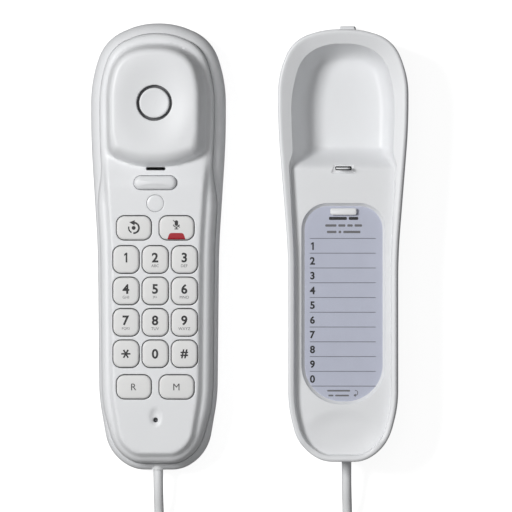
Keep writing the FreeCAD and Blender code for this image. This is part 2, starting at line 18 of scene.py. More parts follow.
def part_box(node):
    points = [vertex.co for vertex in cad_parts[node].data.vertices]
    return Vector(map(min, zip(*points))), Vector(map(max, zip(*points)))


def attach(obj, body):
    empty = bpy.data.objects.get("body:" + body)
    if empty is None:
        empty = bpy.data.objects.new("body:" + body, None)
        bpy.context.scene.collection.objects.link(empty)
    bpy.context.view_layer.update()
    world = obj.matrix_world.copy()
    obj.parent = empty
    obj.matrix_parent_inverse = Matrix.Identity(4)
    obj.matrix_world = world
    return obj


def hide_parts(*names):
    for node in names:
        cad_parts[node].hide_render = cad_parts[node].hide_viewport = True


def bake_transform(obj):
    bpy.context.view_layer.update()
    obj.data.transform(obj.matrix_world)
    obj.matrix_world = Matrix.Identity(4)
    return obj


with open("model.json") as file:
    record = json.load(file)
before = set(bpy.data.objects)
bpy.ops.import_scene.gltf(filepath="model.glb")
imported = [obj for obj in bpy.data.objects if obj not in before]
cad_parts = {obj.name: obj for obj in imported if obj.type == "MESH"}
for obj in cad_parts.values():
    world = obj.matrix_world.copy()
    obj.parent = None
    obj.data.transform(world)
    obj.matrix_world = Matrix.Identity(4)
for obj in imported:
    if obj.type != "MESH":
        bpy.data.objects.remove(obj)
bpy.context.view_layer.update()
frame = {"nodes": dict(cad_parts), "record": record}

bl_info = {
    "name": "Slimline wall phone",
    "version": (1, 0, 0),
    "blender": (4, 5, 0),
    "location": "3D View > Sidebar > Phone",
    "description": "Builds the skins, keys, printing, cord and studio of a slimline wall phone",
    "category": "Object",
}

MM = 0.001


def box_mm(node):
    """Lowest corner, highest corner and centre of a CAD node, in millimetres."""
    low, high = (np.array(corner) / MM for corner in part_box(node))
    return low, high, (low + high) / 2


# ---------------------------------------------------------------- places read from the frame

HS_LOW, HS_HIGH, HS_MID = box_mm("handset_front_shell")
BS_LOW, BS_HIGH, BS_MID = box_mm("base_shell")
HS_HALF = (HS_HIGH[0] - HS_LOW[0]) / 2
BS_HALF = (BS_HIGH[0] - BS_LOW[0]) / 2
HS_TOP = HS_HIGH[1]
SEAM_Z = HS_LOW[2]
DOME_Z = HS_HIGH[2]
EAR_MID = box_mm("earpiece_disc")[2]
LENS_MID = box_mm("indicator_lens")[2]
MIC_MID = box_mm("microphone")[2]
PLUNGER_MID = box_mm("hook_plunger")[2]
WINDOW_LOW, WINDOW_HIGH, WINDOW_MID = box_mm("memory_window")
CARD_LOW, CARD_HIGH, CARD_MID = box_mm("memory_card")
HOOK_LOW, HOOK_HIGH, HOOK_MID = box_mm("retaining_hook")
LUG_LONG = 2.0                        # the lug stands past the base's top end by this much
BS_TOP = BS_HIGH[1] - LUG_LONG
RIM_Z = BS_HIGH[2]

KEY_NODES = sorted(name for name in frame["nodes"] if name.startswith("key_"))
KEY_COLLAR = 0.6                      # how far a CAD key's collar stands out round its cap
KEY_COLLAR_HIGH = 1.1
KEY_CORNER = 3.8
KEY_GAP = 0.45


# ---------------------------------------------------------------- settings

class PhoneSizes(bpy.types.PropertyGroup):
    """Sizes of the moulded shapes that a user might change."""

    face_high: FloatProperty(
        name="Face height", description="Height of the keypad face above the table",
        default=0.027, unit="LENGTH")
    dish_deep: FloatProperty(
        name="Earpiece dish", description="How deep the earpiece is dished",
        default=0.0014, unit="LENGTH")
    tray_high: FloatProperty(
        name="Tray height", description="Height of the cradle's tray above the table",
        default=0.0316, unit="LENGTH")
    well_floor: FloatProperty(
        name="Well floor", description="Height of the earpiece well's floor above the table",
        default=0.0172, unit="LENGTH")
    key_round: FloatProperty(
        name="Key edge", description="Radius of the keys' top edges",
        default=0.0009, unit="LENGTH")
    cord_thick: FloatProperty(
        name="Cord diameter", description="Diameter of the cord itself",
        default=0.0046, unit="LENGTH")
    coil_wide: FloatProperty(
        name="Coil diameter", description="Outer diameter of the curly stretch",
        default=0.0132, unit="LENGTH")
    coil_pitch: FloatProperty(
        name="Coil pitch", description="Distance from one turn of the curly stretch to the next",
        default=0.0049, unit="LENGTH")
    seam_gap: FloatProperty(
        name="Seam", description="Width of the groove between the handset's two shells",
        default=0.0003, unit="LENGTH")


def colour_property(name, description, default):
    """A colour swatch."""
    return FloatVectorProperty(
        name=name, description=description, default=default, subtype="COLOR", size=3,
        min=0.0, max=1.0)


class PhoneColours(bpy.types.PropertyGroup):
    """Colours of the finishes."""

    shell: colour_property("Shell", "Moulded white of both shells", (0.80, 0.81, 0.825))
    keys: colour_property("Keys", "Slightly greyer white of the keys", (0.78, 0.78, 0.775))
    cord: colour_property("Cord", "Vinyl of the cord", (0.80, 0.81, 0.82))
    digits: colour_property("Digits", "Black print", (0.012, 0.012, 0.014))
    letters: colour_property("Letters", "Grey print under the digits", (0.16, 0.16, 0.17))
    mute: colour_property("Mute patch", "Red print on the mute key", (0.38, 0.004, 0.016))
    card: colour_property("Card", "Bluish grey memory card", (0.56, 0.585, 0.70))
    rules: colour_property("Rules", "Writing lines on the card", (0.20, 0.21, 0.25))


def sizes():
    """The scene's size settings."""
    return bpy.context.scene.phone_sizes


def colours():
    """The scene's colour settings."""
    return bpy.context.scene.phone_colours


# ---------------------------------------------------------------- outlines

def unit(vector):
    """The vector at length 1."""
    return vector / np.linalg.norm(vector)


def outline(corners, step, middle=(0.0, 0.0)):
    """A closed loop with tangent arcs at its corners (x, y, radius), in evenly spaced points."""
    dense = []
    for i, (x, y, radius) in enumerate(corners):
        here = np.array((x, y), float)
        back = unit(np.array(corners[i - 1][:2]) - here)
        ahead = unit(np.array(corners[(i + 1) % len(corners)][:2]) - here)
        half = math.acos(np.clip(back @ ahead, -1, 1)) / 2
        to_centre = unit(back + ahead)
        centre = here + to_centre * (radius / math.sin(half))
        side = math.copysign(1.0, back[0] * ahead[1] - back[1] * ahead[0])
        turn = math.pi / 2 - half
        count = max(3, int(radius * 2 * turn / step * 4))
        start = math.atan2(-to_centre[1], -to_centre[0])
        for k in range(count + 1):
            angle = start + side * turn * (1 - 2 * k / count)
            dense.append(centre + radius * np.array((math.cos(angle), math.sin(angle))))
    dense = np.array(dense + dense[:1])
    travel = np.concatenate([[0], np.cumsum(np.linalg.norm(np.diff(dense, axis=0), axis=1))])
    count = max(12, int(round(travel[-1] / step)))
    at = np.arange(count) * travel[-1] / count
    loop = np.stack([np.interp(at, travel, dense[:, axis]) for axis in (0, 1)], 1)
    return loop + np.array(middle)


def both_sides(right):
    """Right-hand corners from top to bottom, and their mirror images."""
    return right + [(-x, y, radius) for x, y, radius in reversed(right)]


def slab(wide, deep, corner, middle, step=0.5):
    """A rounded rectangle."""
    x, y = wide / 2, deep / 2
    corners = [(-x, y, corner), (x, y, corner), (x, -y, corner), (-x, -y, corner)]
    return outline(corners, step, middle)


def circle(radius, middle, step=0.5):
    """A full circle, clockwise like every other loop."""
    count = max(16, int(2 * math.pi * radius / step))
    turn = -2 * math.pi * np.arange(count) / count
    return np.stack([np.cos(turn), np.sin(turn)], 1) * radius + np.array(middle)


def inset(loop, amount):
    """The clockwise loop moved inwards by amount, one number or one for each point."""
    along = np.roll(loop, -1, 0) - np.roll(loop, 1, 0)
    along /= np.linalg.norm(along, axis=1)[:, None]
    inward = np.stack([along[:, 1], -along[:, 0]], 1)
    return loop + inward * np.reshape(np.broadcast_to(amount, len(loop)), (-1, 1))


def depth(points, loop):
    """How far inside the loop each point lies; outside it is negative."""
    start, end = loop, np.roll(loop, -1, 0)
    edge = end - start
    square = (edge ** 2).sum(1)
    found = np.empty(len(points))
    chunk = 2000
    for first in range(0, len(points), chunk):
        part = points[first:first + chunk, None, :]
        away = part - start
        share = np.clip((away * edge).sum(2) / square, 0, 1)
        near = ((away - share[..., None] * edge) ** 2).sum(2).min(1) ** 0.5
        above = start[:, 1] > part[..., 1]
        crosses = above != (end[:, 1] > part[..., 1])
        rise = np.where(edge[:, 1] == 0, 1e-12, edge[:, 1])
        reach = start[:, 0] + (part[..., 1] - start[:, 1]) / rise * edge[:, 0]
        inside = (crosses & (part[..., 0] < reach)).sum(1) % 2 == 1
        found[first:first + chunk] = np.where(inside, near, -near)
    return found


def smooth(low, high, value):
    """0 below low, 1 above high, an S-curve between."""
    t = np.clip((np.asarray(value, float) - low) / (high - low), 0, 1)
    return t * t * (3 - 2 * t)


def mix(low, high, share):
    """From low to high by share."""
    return low + (high - low) * share


def quarter(t):
    """A quarter circle: rises steeply at 0 and is level at 1."""
    t = np.clip(t, 0, 1)
    return np.sqrt(1 - (1 - t) ** 2)


# ---------------------------------------------------------------- meshes

def grid(low, high, step):
    """Points of a triangular grid over a rectangle."""
    rows = np.arange(low[1], high[1], step * 0.866)
    columns = np.arange(low[0], high[0], step)
    points = [(x + (i % 2) * step / 2, y) for i, y in enumerate(rows) for x in columns]
    return np.array(points)


def triangulate(loops, free):
    """Triangles that respect the closed loops. Says where each given point went."""
    verts, edges = [], []
    for loop in loops:
        first, count = len(verts), len(loop)
        verts.extend(loop)
        edges.extend((first + i, first + (i + 1) % count) for i in range(count))
    verts.extend(free)
    result = delaunay_2d_cdt([Vector(v) for v in verts], edges, [], 0, 1e-5, True)
    points = np.array([tuple(v) for v in result[0]])
    triangles = np.array(result[2])
    corner = points[triangles]
    one, two = corner[:, 1] - corner[:, 0], corner[:, 2] - corner[:, 0]
    area = one[:, 0] * two[:, 1] - one[:, 1] * two[:, 0]
    triangles = np.where(area[:, None] < 0, triangles[:, ::-1], triangles)
    where = {old: new for new, olds in enumerate(result[3]) for old in olds}
    return points, triangles, where


def thinned(free, loops, gap):
    """The free points that keep their distance from every loop."""
    near = np.full(len(free), True)
    for loop in loops:
        near &= np.abs(depth(free, loop)) > gap
    return free[near]


def shell(ring, under_ring, walls, holes, sampling, free, top, under, turned_over=False):
    """A closed shell: outer surface top(points), inner surface under(points), rim and hole walls.

    walls are the rings between the outer surface's edge and the inner one's, as (loop, heights),
    point for point with ring.
    """
    loops = [ring, under_ring] + holes + sampling
    points, triangles, where = triangulate(loops, free)
    middle = points[triangles].mean(1)
    keep = depth(middle, ring) > 0
    for hole in holes:
        keep &= depth(middle, hole) < 0
    inner = keep & (depth(middle, under_ring) > 0)
    count = len(points)
    vertices = np.concatenate([np.column_stack([points, top(points)]),
                               np.column_stack([points, under(points)])])
    faces = triangles[keep].tolist() + (triangles[inner][:, ::-1] + count).tolist()
    n = len(ring)
    rows = [[where[i] for i in range(n)]]
    for loop, heights in walls:
        rows.append(list(range(len(vertices), len(vertices) + n)))
        high = np.broadcast_to(heights, n)
        vertices = np.concatenate([vertices, np.column_stack([loop, high])])
    rows.append([where[n + i] + count for i in range(n)])
    for upper, lower in zip(rows, rows[1:]):
        faces += [[upper[i], upper[(i + 1) % n], lower[(i + 1) % n], lower[i]] for i in range(n)]
    first = 2 * n
    for hole in holes:
        row = [where[first + i] for i in range(len(hole))]
        first += len(hole)
        faces += [[b, a, a + count, b + count] for a, b in zip(row, row[1:] + row[:1])]
    if turned_over:
        faces = [face[::-1] for face in faces]
    return vertices, faces


def loft(rows, closed_top=True, closed_foot=True):
    """Loops of one length joined in order, the first one the foot, each an (n, 3) array."""
    n = len(rows[0])
    vertices = np.concatenate(rows)
    faces = []
    for k in range(len(rows) - 1):
        a, b = k * n, (k + 1) * n
        faces += [[a + i, b + i, b + (i + 1) % n, a + (i + 1) % n] for i in range(n)]
    if closed_foot:
        faces.append(list(range(n)))
    if closed_top:
        last = (len(rows) - 1) * n
        faces.append([last + i for i in reversed(range(n))])
    return vertices, faces


def sweep(points, radius, sides):
    """A round tube along points, with a frame carried along without twist."""
    points = np.asarray(points, float)
    along = np.gradient(points, axis=0)
    along /= np.linalg.norm(along, axis=1)[:, None]
    side = unit(np.cross(along[0], (0.0, 0.0, 1.0)))
    turn = 2 * math.pi * np.arange(sides) / sides
    rows = []
    for here, ahead in zip(points, along):
        side = unit(side - ahead * (side @ ahead))
        up = np.cross(ahead, side)
        rows.append(here + radius * (np.outer(np.cos(turn), side) + np.outer(np.sin(turn), up)))
    return loft(rows)


def joined(parts):
    """Several (vertices, faces) as one."""
    vertices, faces, count = [], [], 0
    for part_vertices, part_faces in parts:
        vertices.append(part_vertices)
        faces += [[i + count for i in face] for face in part_faces]
        count += len(part_vertices)
    return np.concatenate(vertices), faces


def add_piece(name, shape, body, finish, replaces=(), sharp=40.0):
    """One object from (vertices in millimetres, faces), riding on a body."""
    vertices, faces = shape
    mesh = bpy.data.meshes.new(name)
    mesh.from_pydata((np.asarray(vertices) * MM).tolist(), [], faces)
    work = bmesh.new()
    work.from_mesh(mesh)
    bmesh.ops.delete(work, geom=[v for v in work.verts if not v.link_faces], context="VERTS")
    bmesh.ops.recalc_face_normals(work, faces=work.faces)
    work.to_mesh(mesh)
    work.free()
    mesh.shade_smooth()
    mesh.set_sharp_from_angle(angle=math.radians(sharp))
    mesh.materials.append(finish)
    piece = bpy.data.objects.new(name, mesh)
    bpy.context.scene.collection.objects.link(piece)
    if body:
        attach(piece, body)
    if replaces:
        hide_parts(*replaces)
    return piece


# ---------------------------------------------------------------- finishes

class Value:
    """A socket that can be used in arithmetic; each operation adds its Math node."""

    def __init__(self, maker, socket):
        self.maker = maker
        self.socket = socket

    def apply(self, operation, first, second):
        """A Math node on two values."""
        return self.maker.node("ShaderNodeMath", {"operation": operation}, {0: first, 1: second})

    def __add__(self, other):
        return self.apply("ADD", self, other)

    def __radd__(self, other):
        return self.apply("ADD", other, self)

    def __sub__(self, other):
        return self.apply("SUBTRACT", self, other)

    def __rsub__(self, other):
        return self.apply("SUBTRACT", other, self)

    def __mul__(self, other):
        return self.apply("MULTIPLY", self, other)

    def __rmul__(self, other):
        return self.apply("MULTIPLY", other, self)


FINISH_MARK = "phone_"                # the CAD's own plain materials already have the slots' names


class Finish:
    """A material under construction."""

    def __init__(self, name):
        self.material = bpy.data.materials.new(FINISH_MARK + name)
        self.material.use_nodes = True
        self.tree = self.material.node_tree
        self.surface = self.tree.nodes["Principled BSDF"]

    def node(self, kind, settings=None, inputs=None, output=0):
        """Any node: its settings first, then its sockets' values or links."""
        made = self.tree.nodes.new(kind)
        for name, value in (settings or {}).items():
            setattr(made, name, value)
        for key, value in (inputs or {}).items():
            self.plug(made.inputs[key], value)
        return Value(self, made.outputs[output])

    def plug(self, socket, value):
        """Link a Value or set a constant."""
        if isinstance(value, Value):
            self.tree.links.new(value.socket, socket)
        else:
            socket.default_value = value

    def set(self, **inputs):
        """Sockets of the surface shader, with underscores for spaces."""
        for name, value in inputs.items():
            self.plug(self.surface.inputs[name.replace("_", " ")], value)
        return self

    def place(self):
        """Where a point of the piece lies, in metres."""
        return self.node("ShaderNodeTexCoord", output="Object")

    def noise(self, scale, detail=2.0, rough=0.5, output="Fac"):
        """Smooth noise with features of about 1/scale metres."""
        return self.node("ShaderNodeTexNoise", {}, {
            "Vector": self.place(), "Scale": scale, "Detail": detail, "Roughness": rough}, output)

    def blend(self, share, first, second):
        """A colour between two."""
        made = self.tree.nodes.new("ShaderNodeMix")
        made.data_type = "RGBA"
        self.plug(made.inputs["Factor"], share)
        for name, colour in (("A", first), ("B", second)):
            socket = next(s for s in made.inputs if s.name == name and s.type == "RGBA")
            self.plug(socket, colour)
        return Value(self, next(s for s in made.outputs if s.type == "RGBA"))

    def bump(self, height, far, strength=1.0):
        """A normal bent by a height; far is the height's real size in metres."""
        return self.node("ShaderNodeBump", {}, {
            "Strength": strength, "Distance": far, "Height": height}, "Normal")


def shade(colour, factor):
    """A colour made darker or lighter, with full alpha."""
    return tuple(min(1.0, part * factor) for part in colour) + (1.0,)


def moulded(name, colour, rough, grain, mottle=0.03):
    """Satin moulded plastic: faint cloudy tone, spark-eroded grain, slightly uneven gloss."""
    made = Finish(name)
    clouds = made.noise(55.0, 3.0)
    fine = made.noise(2600.0, 2.0)
    speck = made.noise(900.0, 4.0, 0.6)
    tone = made.blend(clouds * 0.7 + speck * 0.3, shade(colour, 1 - mottle), shade(colour, 1 + mottle))
    made.set(Base_Color=tone, Roughness=rough + (clouds - 0.5) * 0.10 + (speck - 0.5) * 0.08)
    made.set(Normal=made.bump(fine * 0.65 + speck * 0.35, grain), IOR=1.5)
    return made.material


def printed(name, colour, rough=0.45):
    """Screen-printed ink with a slightly uneven edge-to-edge density."""
    made = Finish(name)
    dots = made.noise(3200.0, 2.0)
    made.set(Base_Color=made.blend(dots, shade(colour, 0.8), shade(colour, 1.25)),
             Roughness=rough + (dots - 0.5) * 0.2, Normal=made.bump(dots, 0.000008))
    return made.material


def card_stock(name, colour):
    """Smooth printed card with short paper fibres."""
    made = Finish(name)
    stretched = made.node("ShaderNodeMapping", {}, {"Vector": made.place(),
                                                    "Scale": (900.0, 2600.0, 900.0)})
    fibres = made.node("ShaderNodeTexNoise", {}, {"Vector": stretched, "Scale": 1.0,
                                                  "Detail": 4.0}, "Fac")
    patches = made.noise(70.0, 2.0)
    tone = made.blend(fibres * 0.6 + patches * 0.4, shade(colour, 0.94), shade(colour, 1.05))
    made.set(Base_Color=tone, Roughness=0.62 + (fibres - 0.5) * 0.1,
             Normal=made.bump(fibres, 0.00002))
    return made.material


def clear(name):
    """Clear moulded window with a trace of haze."""
    made = Finish(name)
    haze = made.noise(160.0, 3.0)
    made.set(Base_Color=made.blend(haze, (0.010, 0.010, 0.012, 1), (0.014, 0.014, 0.016, 1)),
             Roughness=0.05 + haze * 0.03, Alpha=0.015 + haze * 0.02,
             Normal=made.bump(haze, 0.00001))
    return made.material


def frosted(name, colour):
    """Frosted lens: milky, a little smoother than the shell round it."""
    made = Finish(name)
    frost = made.noise(1800.0, 3.0)
    made.set(Base_Color=made.blend(frost, shade(colour, 0.97), shade(colour, 1.04)),
             Roughness=0.26 + frost * 0.1, Normal=made.bump(frost, 0.000015))
    return made.material


def metal(name, colour, rough, streak):
    """Plated metal with fine drawn streaks along Y."""
    made = Finish(name)
    stretched = made.node("ShaderNodeMapping", {}, {"Vector": made.place(),
                                                    "Scale": (streak, streak / 30, streak)})
    lines = made.node("ShaderNodeTexNoise", {}, {"Vector": stretched, "Scale": 1.0,
                                                 "Detail": 3.0}, "Fac")
    made.set(Base_Color=made.blend(lines, shade(colour, 0.88), shade(colour, 1.08)),
             Metallic=1.0, Roughness=rough + (lines - 0.5) * 0.16,
             Normal=made.bump(lines, 0.000006))
    return made.material


def board(name):
    """Green solder mask with copper tracks that show through as paler lines."""
    made = Finish(name)
    tracks = made.node("ShaderNodeTexWave", {"wave_type": "BANDS", "bands_direction": "X"}, {
        "Vector": made.place(), "Scale": 160.0, "Distortion": 6.0, "Detail": 1.0}, "Fac")
    lines = made.node("ShaderNodeMath", {"operation": "GREATER_THAN"}, {0: tracks, 1: 0.72})
    made.set(Base_Color=made.blend(lines, (0.012, 0.11, 0.05, 1), (0.05, 0.26, 0.13, 1)),
             Roughness=0.38 - lines * 0.08, Normal=made.bump(lines, 0.00004))
    return made.material


def make_finishes():
    """Every finish by the name of its slot, and the inks."""
    tint = colours()
    return {
        "white_shell": moulded("white_shell", tint.shell, 0.42, 0.000022),
        "white_keys": moulded("white_keys", tint.keys, 0.46, 0.00003, 0.025),
        "cord_white": moulded("cord_white", tint.cord, 0.38, 0.00002),
        "grey_rubber": moulded("grey_rubber", (0.10, 0.10, 0.105), 0.72, 0.00006, 0.15),
        "black_plastic": moulded("black_plastic", (0.018, 0.018, 0.02), 0.5, 0.00003, 0.2),
        "frosted_lens": frosted("frosted_lens", tint.shell),
        "clear_window": clear("clear_window"),
        "printed_card": card_stock("printed_card", tint.card),
        "circuit_board": board("circuit_board"),
        "steel": metal("steel", (0.56, 0.57, 0.58), 0.32, 2400.0),
        "brass": metal("brass", (0.72, 0.54, 0.24), 0.34, 2000.0),
        "digit_ink": printed("digit_ink", tint.digits),
        "letter_ink": printed("letter_ink", tint.letters),
        "mute_ink": printed("mute_ink", tint.mute, 0.5),
        "rule_ink": printed("rule_ink", tint.rules),
    }


def finish(name):
    """A finish that make_finishes() has made."""
    return bpy.data.materials[FINISH_MARK + name]


# ---------------------------------------------------------------- handset

HANDSET_STEP = 1.1
HANDSET_MIDDLE = (HS_MID[0], 0.0)
WIDEST_Z = 11.0                       # height at which the handset is widest
BACK_ROUND = 11.0
EAR_HOLE, LENS_HOLE, SOUND_HOLE = 8.65, 4.16, 1.2
SLOT_WIDE, SLOT_DEEP = 9.4, 1.5
SCREW_HOLE = 3.0
EDGE_STEP = 1.6                       # first small round above the seam
SHOULDER_Z = 24.0
DOME_FOOT_Z = 23.2


def handset_loop(step=HANDSET_STEP):
    """The handset seen from the front."""
    top, foot = HS_TOP, HS_LOW[1]
    return outline(both_sides([
        (8, top, 36), (25.8, top - 7.6, 22), (HS_HALF, top - 28, 65), (HS_HALF, top - 56, 400),
        (HS_HALF - 3.3, top - 108, 400), (HS_HALF - 4.0, top - 180, 90), (24, foot + 8.5, 21),
        (12, foot, 17)]), step, HANDSET_MIDDLE)


def dome_loop():
    """The foot of the earpiece dome: round at the top, a shallow smile at the bottom."""
    y = EAR_MID[1]
    return outline(both_sides([
        (8, y + 28.4, 27), (20.0, y + 22.8, 17), (24.1, y + 8, 50), (23.7, y - 25.0, 7.5),
        (9, y - 30.9, 40)]), 0.9, HANDSET_MIDDLE)


def seam_inset(y):
    """How far inside the outline the seam runs: wide round the earpiece, narrow by the keys."""
    return mix(1.7, 4.9, smooth(18, 40, y)) + 1.3 * smooth(-78, -96, -np.abs(np.minimum(y, 0)))


def seam_high(y):
    """Height of the seam."""
    return mix(SEAM_Z + 0.2, SEAM_Z + 3.0, smooth(18, 40, y))


def handset_holes():
    """Openings in the face, as loops: keys, plunger, lens, microphone, earpiece and hook slot."""
    holes = []
    for node in KEY_NODES:
        low, high, middle = box_mm(node)
        wide, deep = high[0] - low[0] - 2 * KEY_COLLAR, high[1] - low[1] - 2 * KEY_COLLAR
        holes.append(slab(wide + 2 * KEY_GAP, deep + 2 * KEY_GAP, KEY_CORNER + KEY_GAP,
                          middle[:2], 0.55))
    holes.append(slab(21.0, 7.1, 3.5, PLUNGER_MID[:2], 0.55))
    holes.append(circle(LENS_HOLE, LENS_MID[:2], 0.5))
    holes.append(circle(SOUND_HOLE, MIC_MID[:2], 0.4))
    holes.append(circle(EAR_HOLE, EAR_MID[:2], 0.45))
    holes.append(slab(SLOT_WIDE, SLOT_DEEP, 0.6, (HS_MID[0], HOOK_MID[1]), 0.4))
    return holes


def face_height(outer, dome, holes):
    """The height of the handset's front at any point."""
    face = sizes().face_high / MM
    dish = sizes().dish_deep / MM

    def height(points):
        x, y = points[:, 0] - HS_MID[0], points[:, 1]
        inside = depth(points, outer)
        upper = smooth(28, 46, y)
        start = seam_inset(y)
        seam = seam_high(y)
        above = seam + EDGE_STEP * quarter((inside - start) / 1.1)
        by_keys = above + (SHOULDER_Z - seam - EDGE_STEP) * quarter((inside - start) / 3.9)
        by_keys = by_keys + (face - SHOULDER_Z) * smooth(5.8, 8.5, inside)
        by_ear = above + (DOME_FOOT_Z - seam - EDGE_STEP) * quarter((inside - start) / 5.0)
        high = mix(by_keys, by_ear, upper)
        rise = depth(points, dome)
        reach = mix(5.6, 8.5, smooth(EAR_MID[1] - 12, EAR_MID[1] - 26, y))
        swell = 1 - (1 - np.clip((rise + 0.7) / reach, 0, 1)) ** 2.5
        swell = swell * smooth(-0.8, 2.2, rise)
        high = high + (DOME_Z - high) * swell
        centre = np.hypot(x, (y - EAR_MID[1]) / 1.25)
        high = high - dish * (1 - smooth(5.5, 19.5, centre))
        dimple = 1 - (x / 2.9) ** 2 - ((y - MIC_MID[1] - 1.4) / 4.9) ** 2
        high = high - 0.9 * smooth(0, 0.9, dimple)
        lip = np.full(len(points), 1.0)
        for hole in holes:
            near = np.abs(points - hole.mean(0)).max(1) < 14
            lip[near] = np.minimum(lip[near], -depth(points[near], hole))
        return high - 0.22 * (1 - quarter(np.clip(lip, 0, 1) / 0.3))
    return height


def make_handset_front():
    """The front shell."""
    outer = handset_loop()
    dome = dome_loop()
    y = outer[:, 1]
    gap = sizes().seam_gap / MM
    start = seam_inset(y) + gap / 2
    ring = inset(outer, start)
    wall = inset(outer, start + 1.6)
    holes = handset_holes()
    height = face_height(outer, dome, holes)
    sampling = [inset(outer, start + step) for step in (0.08, 0.22, 0.45, 0.75, 1.1, 2.1, 2.7, 3.3)]
    lips = [inset(hole, -0.14) for hole in holes] + [inset(hole, -0.32) for hole in holes]
    contours = [inset(dome, step) for step in (0.0, 0.8, 1.6, 2.4, 3.2, 4.0, 4.9, 5.8, 6.8, 8.0)]
    beside = [loop[(depth(loop, ring) > 3.7)] for loop in
              (inset(outer, step) for step in (5.8, 6.5, 7.2, 7.9, 8.5))]
    apart = np.concatenate(beside)
    apart = apart[apart[:, 1] < 36]
    free = grid(HS_LOW[:2], HS_HIGH[:2], 1.05)
    free = thinned(free, [ring, wall] + sampling + contours, 0.55)
    free = free[np.abs(depth(free, outer)) > start.min()]
    free = np.concatenate([free[(depth(free, outer) > 9.0) | (free[:, 1] > 36)], apart])
    free = thinned(free, holes, 0.5)
    free = free[depth(free, ring) > 0.5]
    edge = seam_high(y)
    walls = [(inset(outer, start - 0.02), edge - 0.5), (inset(outer, start + 0.1), edge - 1.6),
             (inset(outer, start + 1.5), edge - 1.6)]

    def under(points):
        return np.minimum(height(points) - 3.0, 24.0 + 8.0 * smooth(0, 6, depth(points, dome)))
    shape = shell(ring, wall, walls, holes, sampling + contours + lips, free, height, under)
    return add_piece("handset_front", shape, "handset", finish("white_shell"),
                     ["handset_front_shell"], 50.0)


def make_handset_rear():
    """The rounded rear shell, up to the seam."""
    outer = handset_loop()
    y = outer[:, 1]
    gap = sizes().seam_gap / MM
    reach = seam_inset(y) - gap / 2
    rise = seam_high(y) - 0.15 - WIDEST_Z
    holes = [circle(SCREW_HOLE, (HS_MID[0], place), 0.5) for place in (42.5, -92.5)]
    sampling = [inset(outer, BACK_ROUND * (1 - math.cos(math.radians(a)))) for a in
                (8, 16, 24, 32, 40, 48, 56, 64, 72, 80, 88)]

    def height(points):
        inside = depth(points, outer)
        return WIDEST_Z - WIDEST_Z * quarter(inside / BACK_ROUND)

    def under(points):
        return height(points) + 2.2
    walls = []
    last = math.radians(66)
    for k in range(1, 9):
        turn = last * k / 8
        share = (1 - math.cos(turn)) / (1 - math.cos(last))
        walls.append((inset(outer, reach * share), WIDEST_Z + rise * math.sin(turn) / math.sin(last)))
    top = WIDEST_Z + rise
    walls.append((inset(outer, reach + 0.12), top - 0.15))
    walls.append((inset(outer, reach + 0.2), top - 1.2))
    walls.append((inset(outer, reach + 2.0), top - 1.2))
    walls.append((inset(outer, reach + 2.2), WIDEST_Z + 2.0))
    under_ring = inset(outer, 2.4)
    free = grid(HS_LOW[:2], HS_HIGH[:2], 3.0)
    free = thinned(free, sampling + holes, 1.2)
    free = free[depth(free, outer) > BACK_ROUND + 1]
    shape = shell(outer, under_ring, walls, holes, sampling, free, height, under, True)
    return add_piece("handset_rear", shape, "handset", finish("white_shell"),
                     ["handset_rear_shell"], 40.0)


# ---------------------------------------------------------------- keys and buttons

def cap_rows(loop, foot, top, edge, crown, collar):
    """Loops of a moulded cap from its collar to its crowned top."""
    rows = [(inset(loop, -collar), foot), (inset(loop, -collar), foot + KEY_COLLAR_HIGH)] \
        if collar else [(loop, foot)]
    rows.append((loop, foot + KEY_COLLAR_HIGH))
    side_top = top - crown - edge
    rows.append((loop, side_top))
    for angle in (18, 36, 54, 72, 90):
        turn = math.radians(angle)
        rows.append((inset(loop, edge * (1 - math.cos(turn))), side_top + edge * math.sin(turn)))
    shoulder, middle = rows[-1][0], loop.mean(0)
    for share in (0.85, 0.65, 0.4, 0.15):
        rows.append((middle + (shoulder - middle) * share, top - crown * share ** 2))
    return [np.column_stack([ring, np.full(len(ring), high)]) for ring, high in rows]


def cap_surface(loop, top, edge, crown):
    """The height of such a cap's top at any point."""
    half = np.abs(loop - loop.mean(0)).max(0)

    def height(points):
        inside = np.clip(depth(points, loop), 0, edge)
        share = np.abs((points - loop.mean(0)) / half).max(1)
        return top - crown * share ** 2 - edge + edge * quarter(inside / edge)
    return height


KEY_CROWN = 0.14


def key_loop(node):
    """The visible outline of a key."""
    low, high, middle = box_mm(node)
    wide, deep = high[0] - low[0] - 2 * KEY_COLLAR, high[1] - low[1] - 2 * KEY_COLLAR
    return slab(wide, deep, KEY_CORNER, middle[:2], 0.5)


def make_key(node):
    """One key's cap."""
    low, high, _ = box_mm(node)
    edge = sizes().key_round / MM
    shape = loft(cap_rows(key_loop(node), low[2], high[2], edge, KEY_CROWN, 0.0))
    return add_piece(node + "_cap", shape, node, finish("white_keys"), [node])


def make_plunger():
    """The hook switch's pill-shaped plunger."""
    low, high, middle = box_mm("hook_plunger")
    loop = slab(20.5, 6.6, 3.29, middle[:2], 0.5)
    shape = loft(cap_rows(loop, low[2], high[2], 1.9, 0.5, 0.6))
    return add_piece("plunger_cap", shape, "hook_plunger", finish("white_shell"),
                     ["hook_plunger"])


def lathe(profile, middle, step=0.45):
    """A turned piece from (radius, height) pairs, foot first."""
    widest = max(radius for radius, _ in profile)
    ring = circle(1.0, (0, 0), step / widest)
    rows = [np.column_stack([ring * radius + np.array(middle[:2]), np.full(len(ring), high)])
            for radius, high in profile]
    return loft(rows)


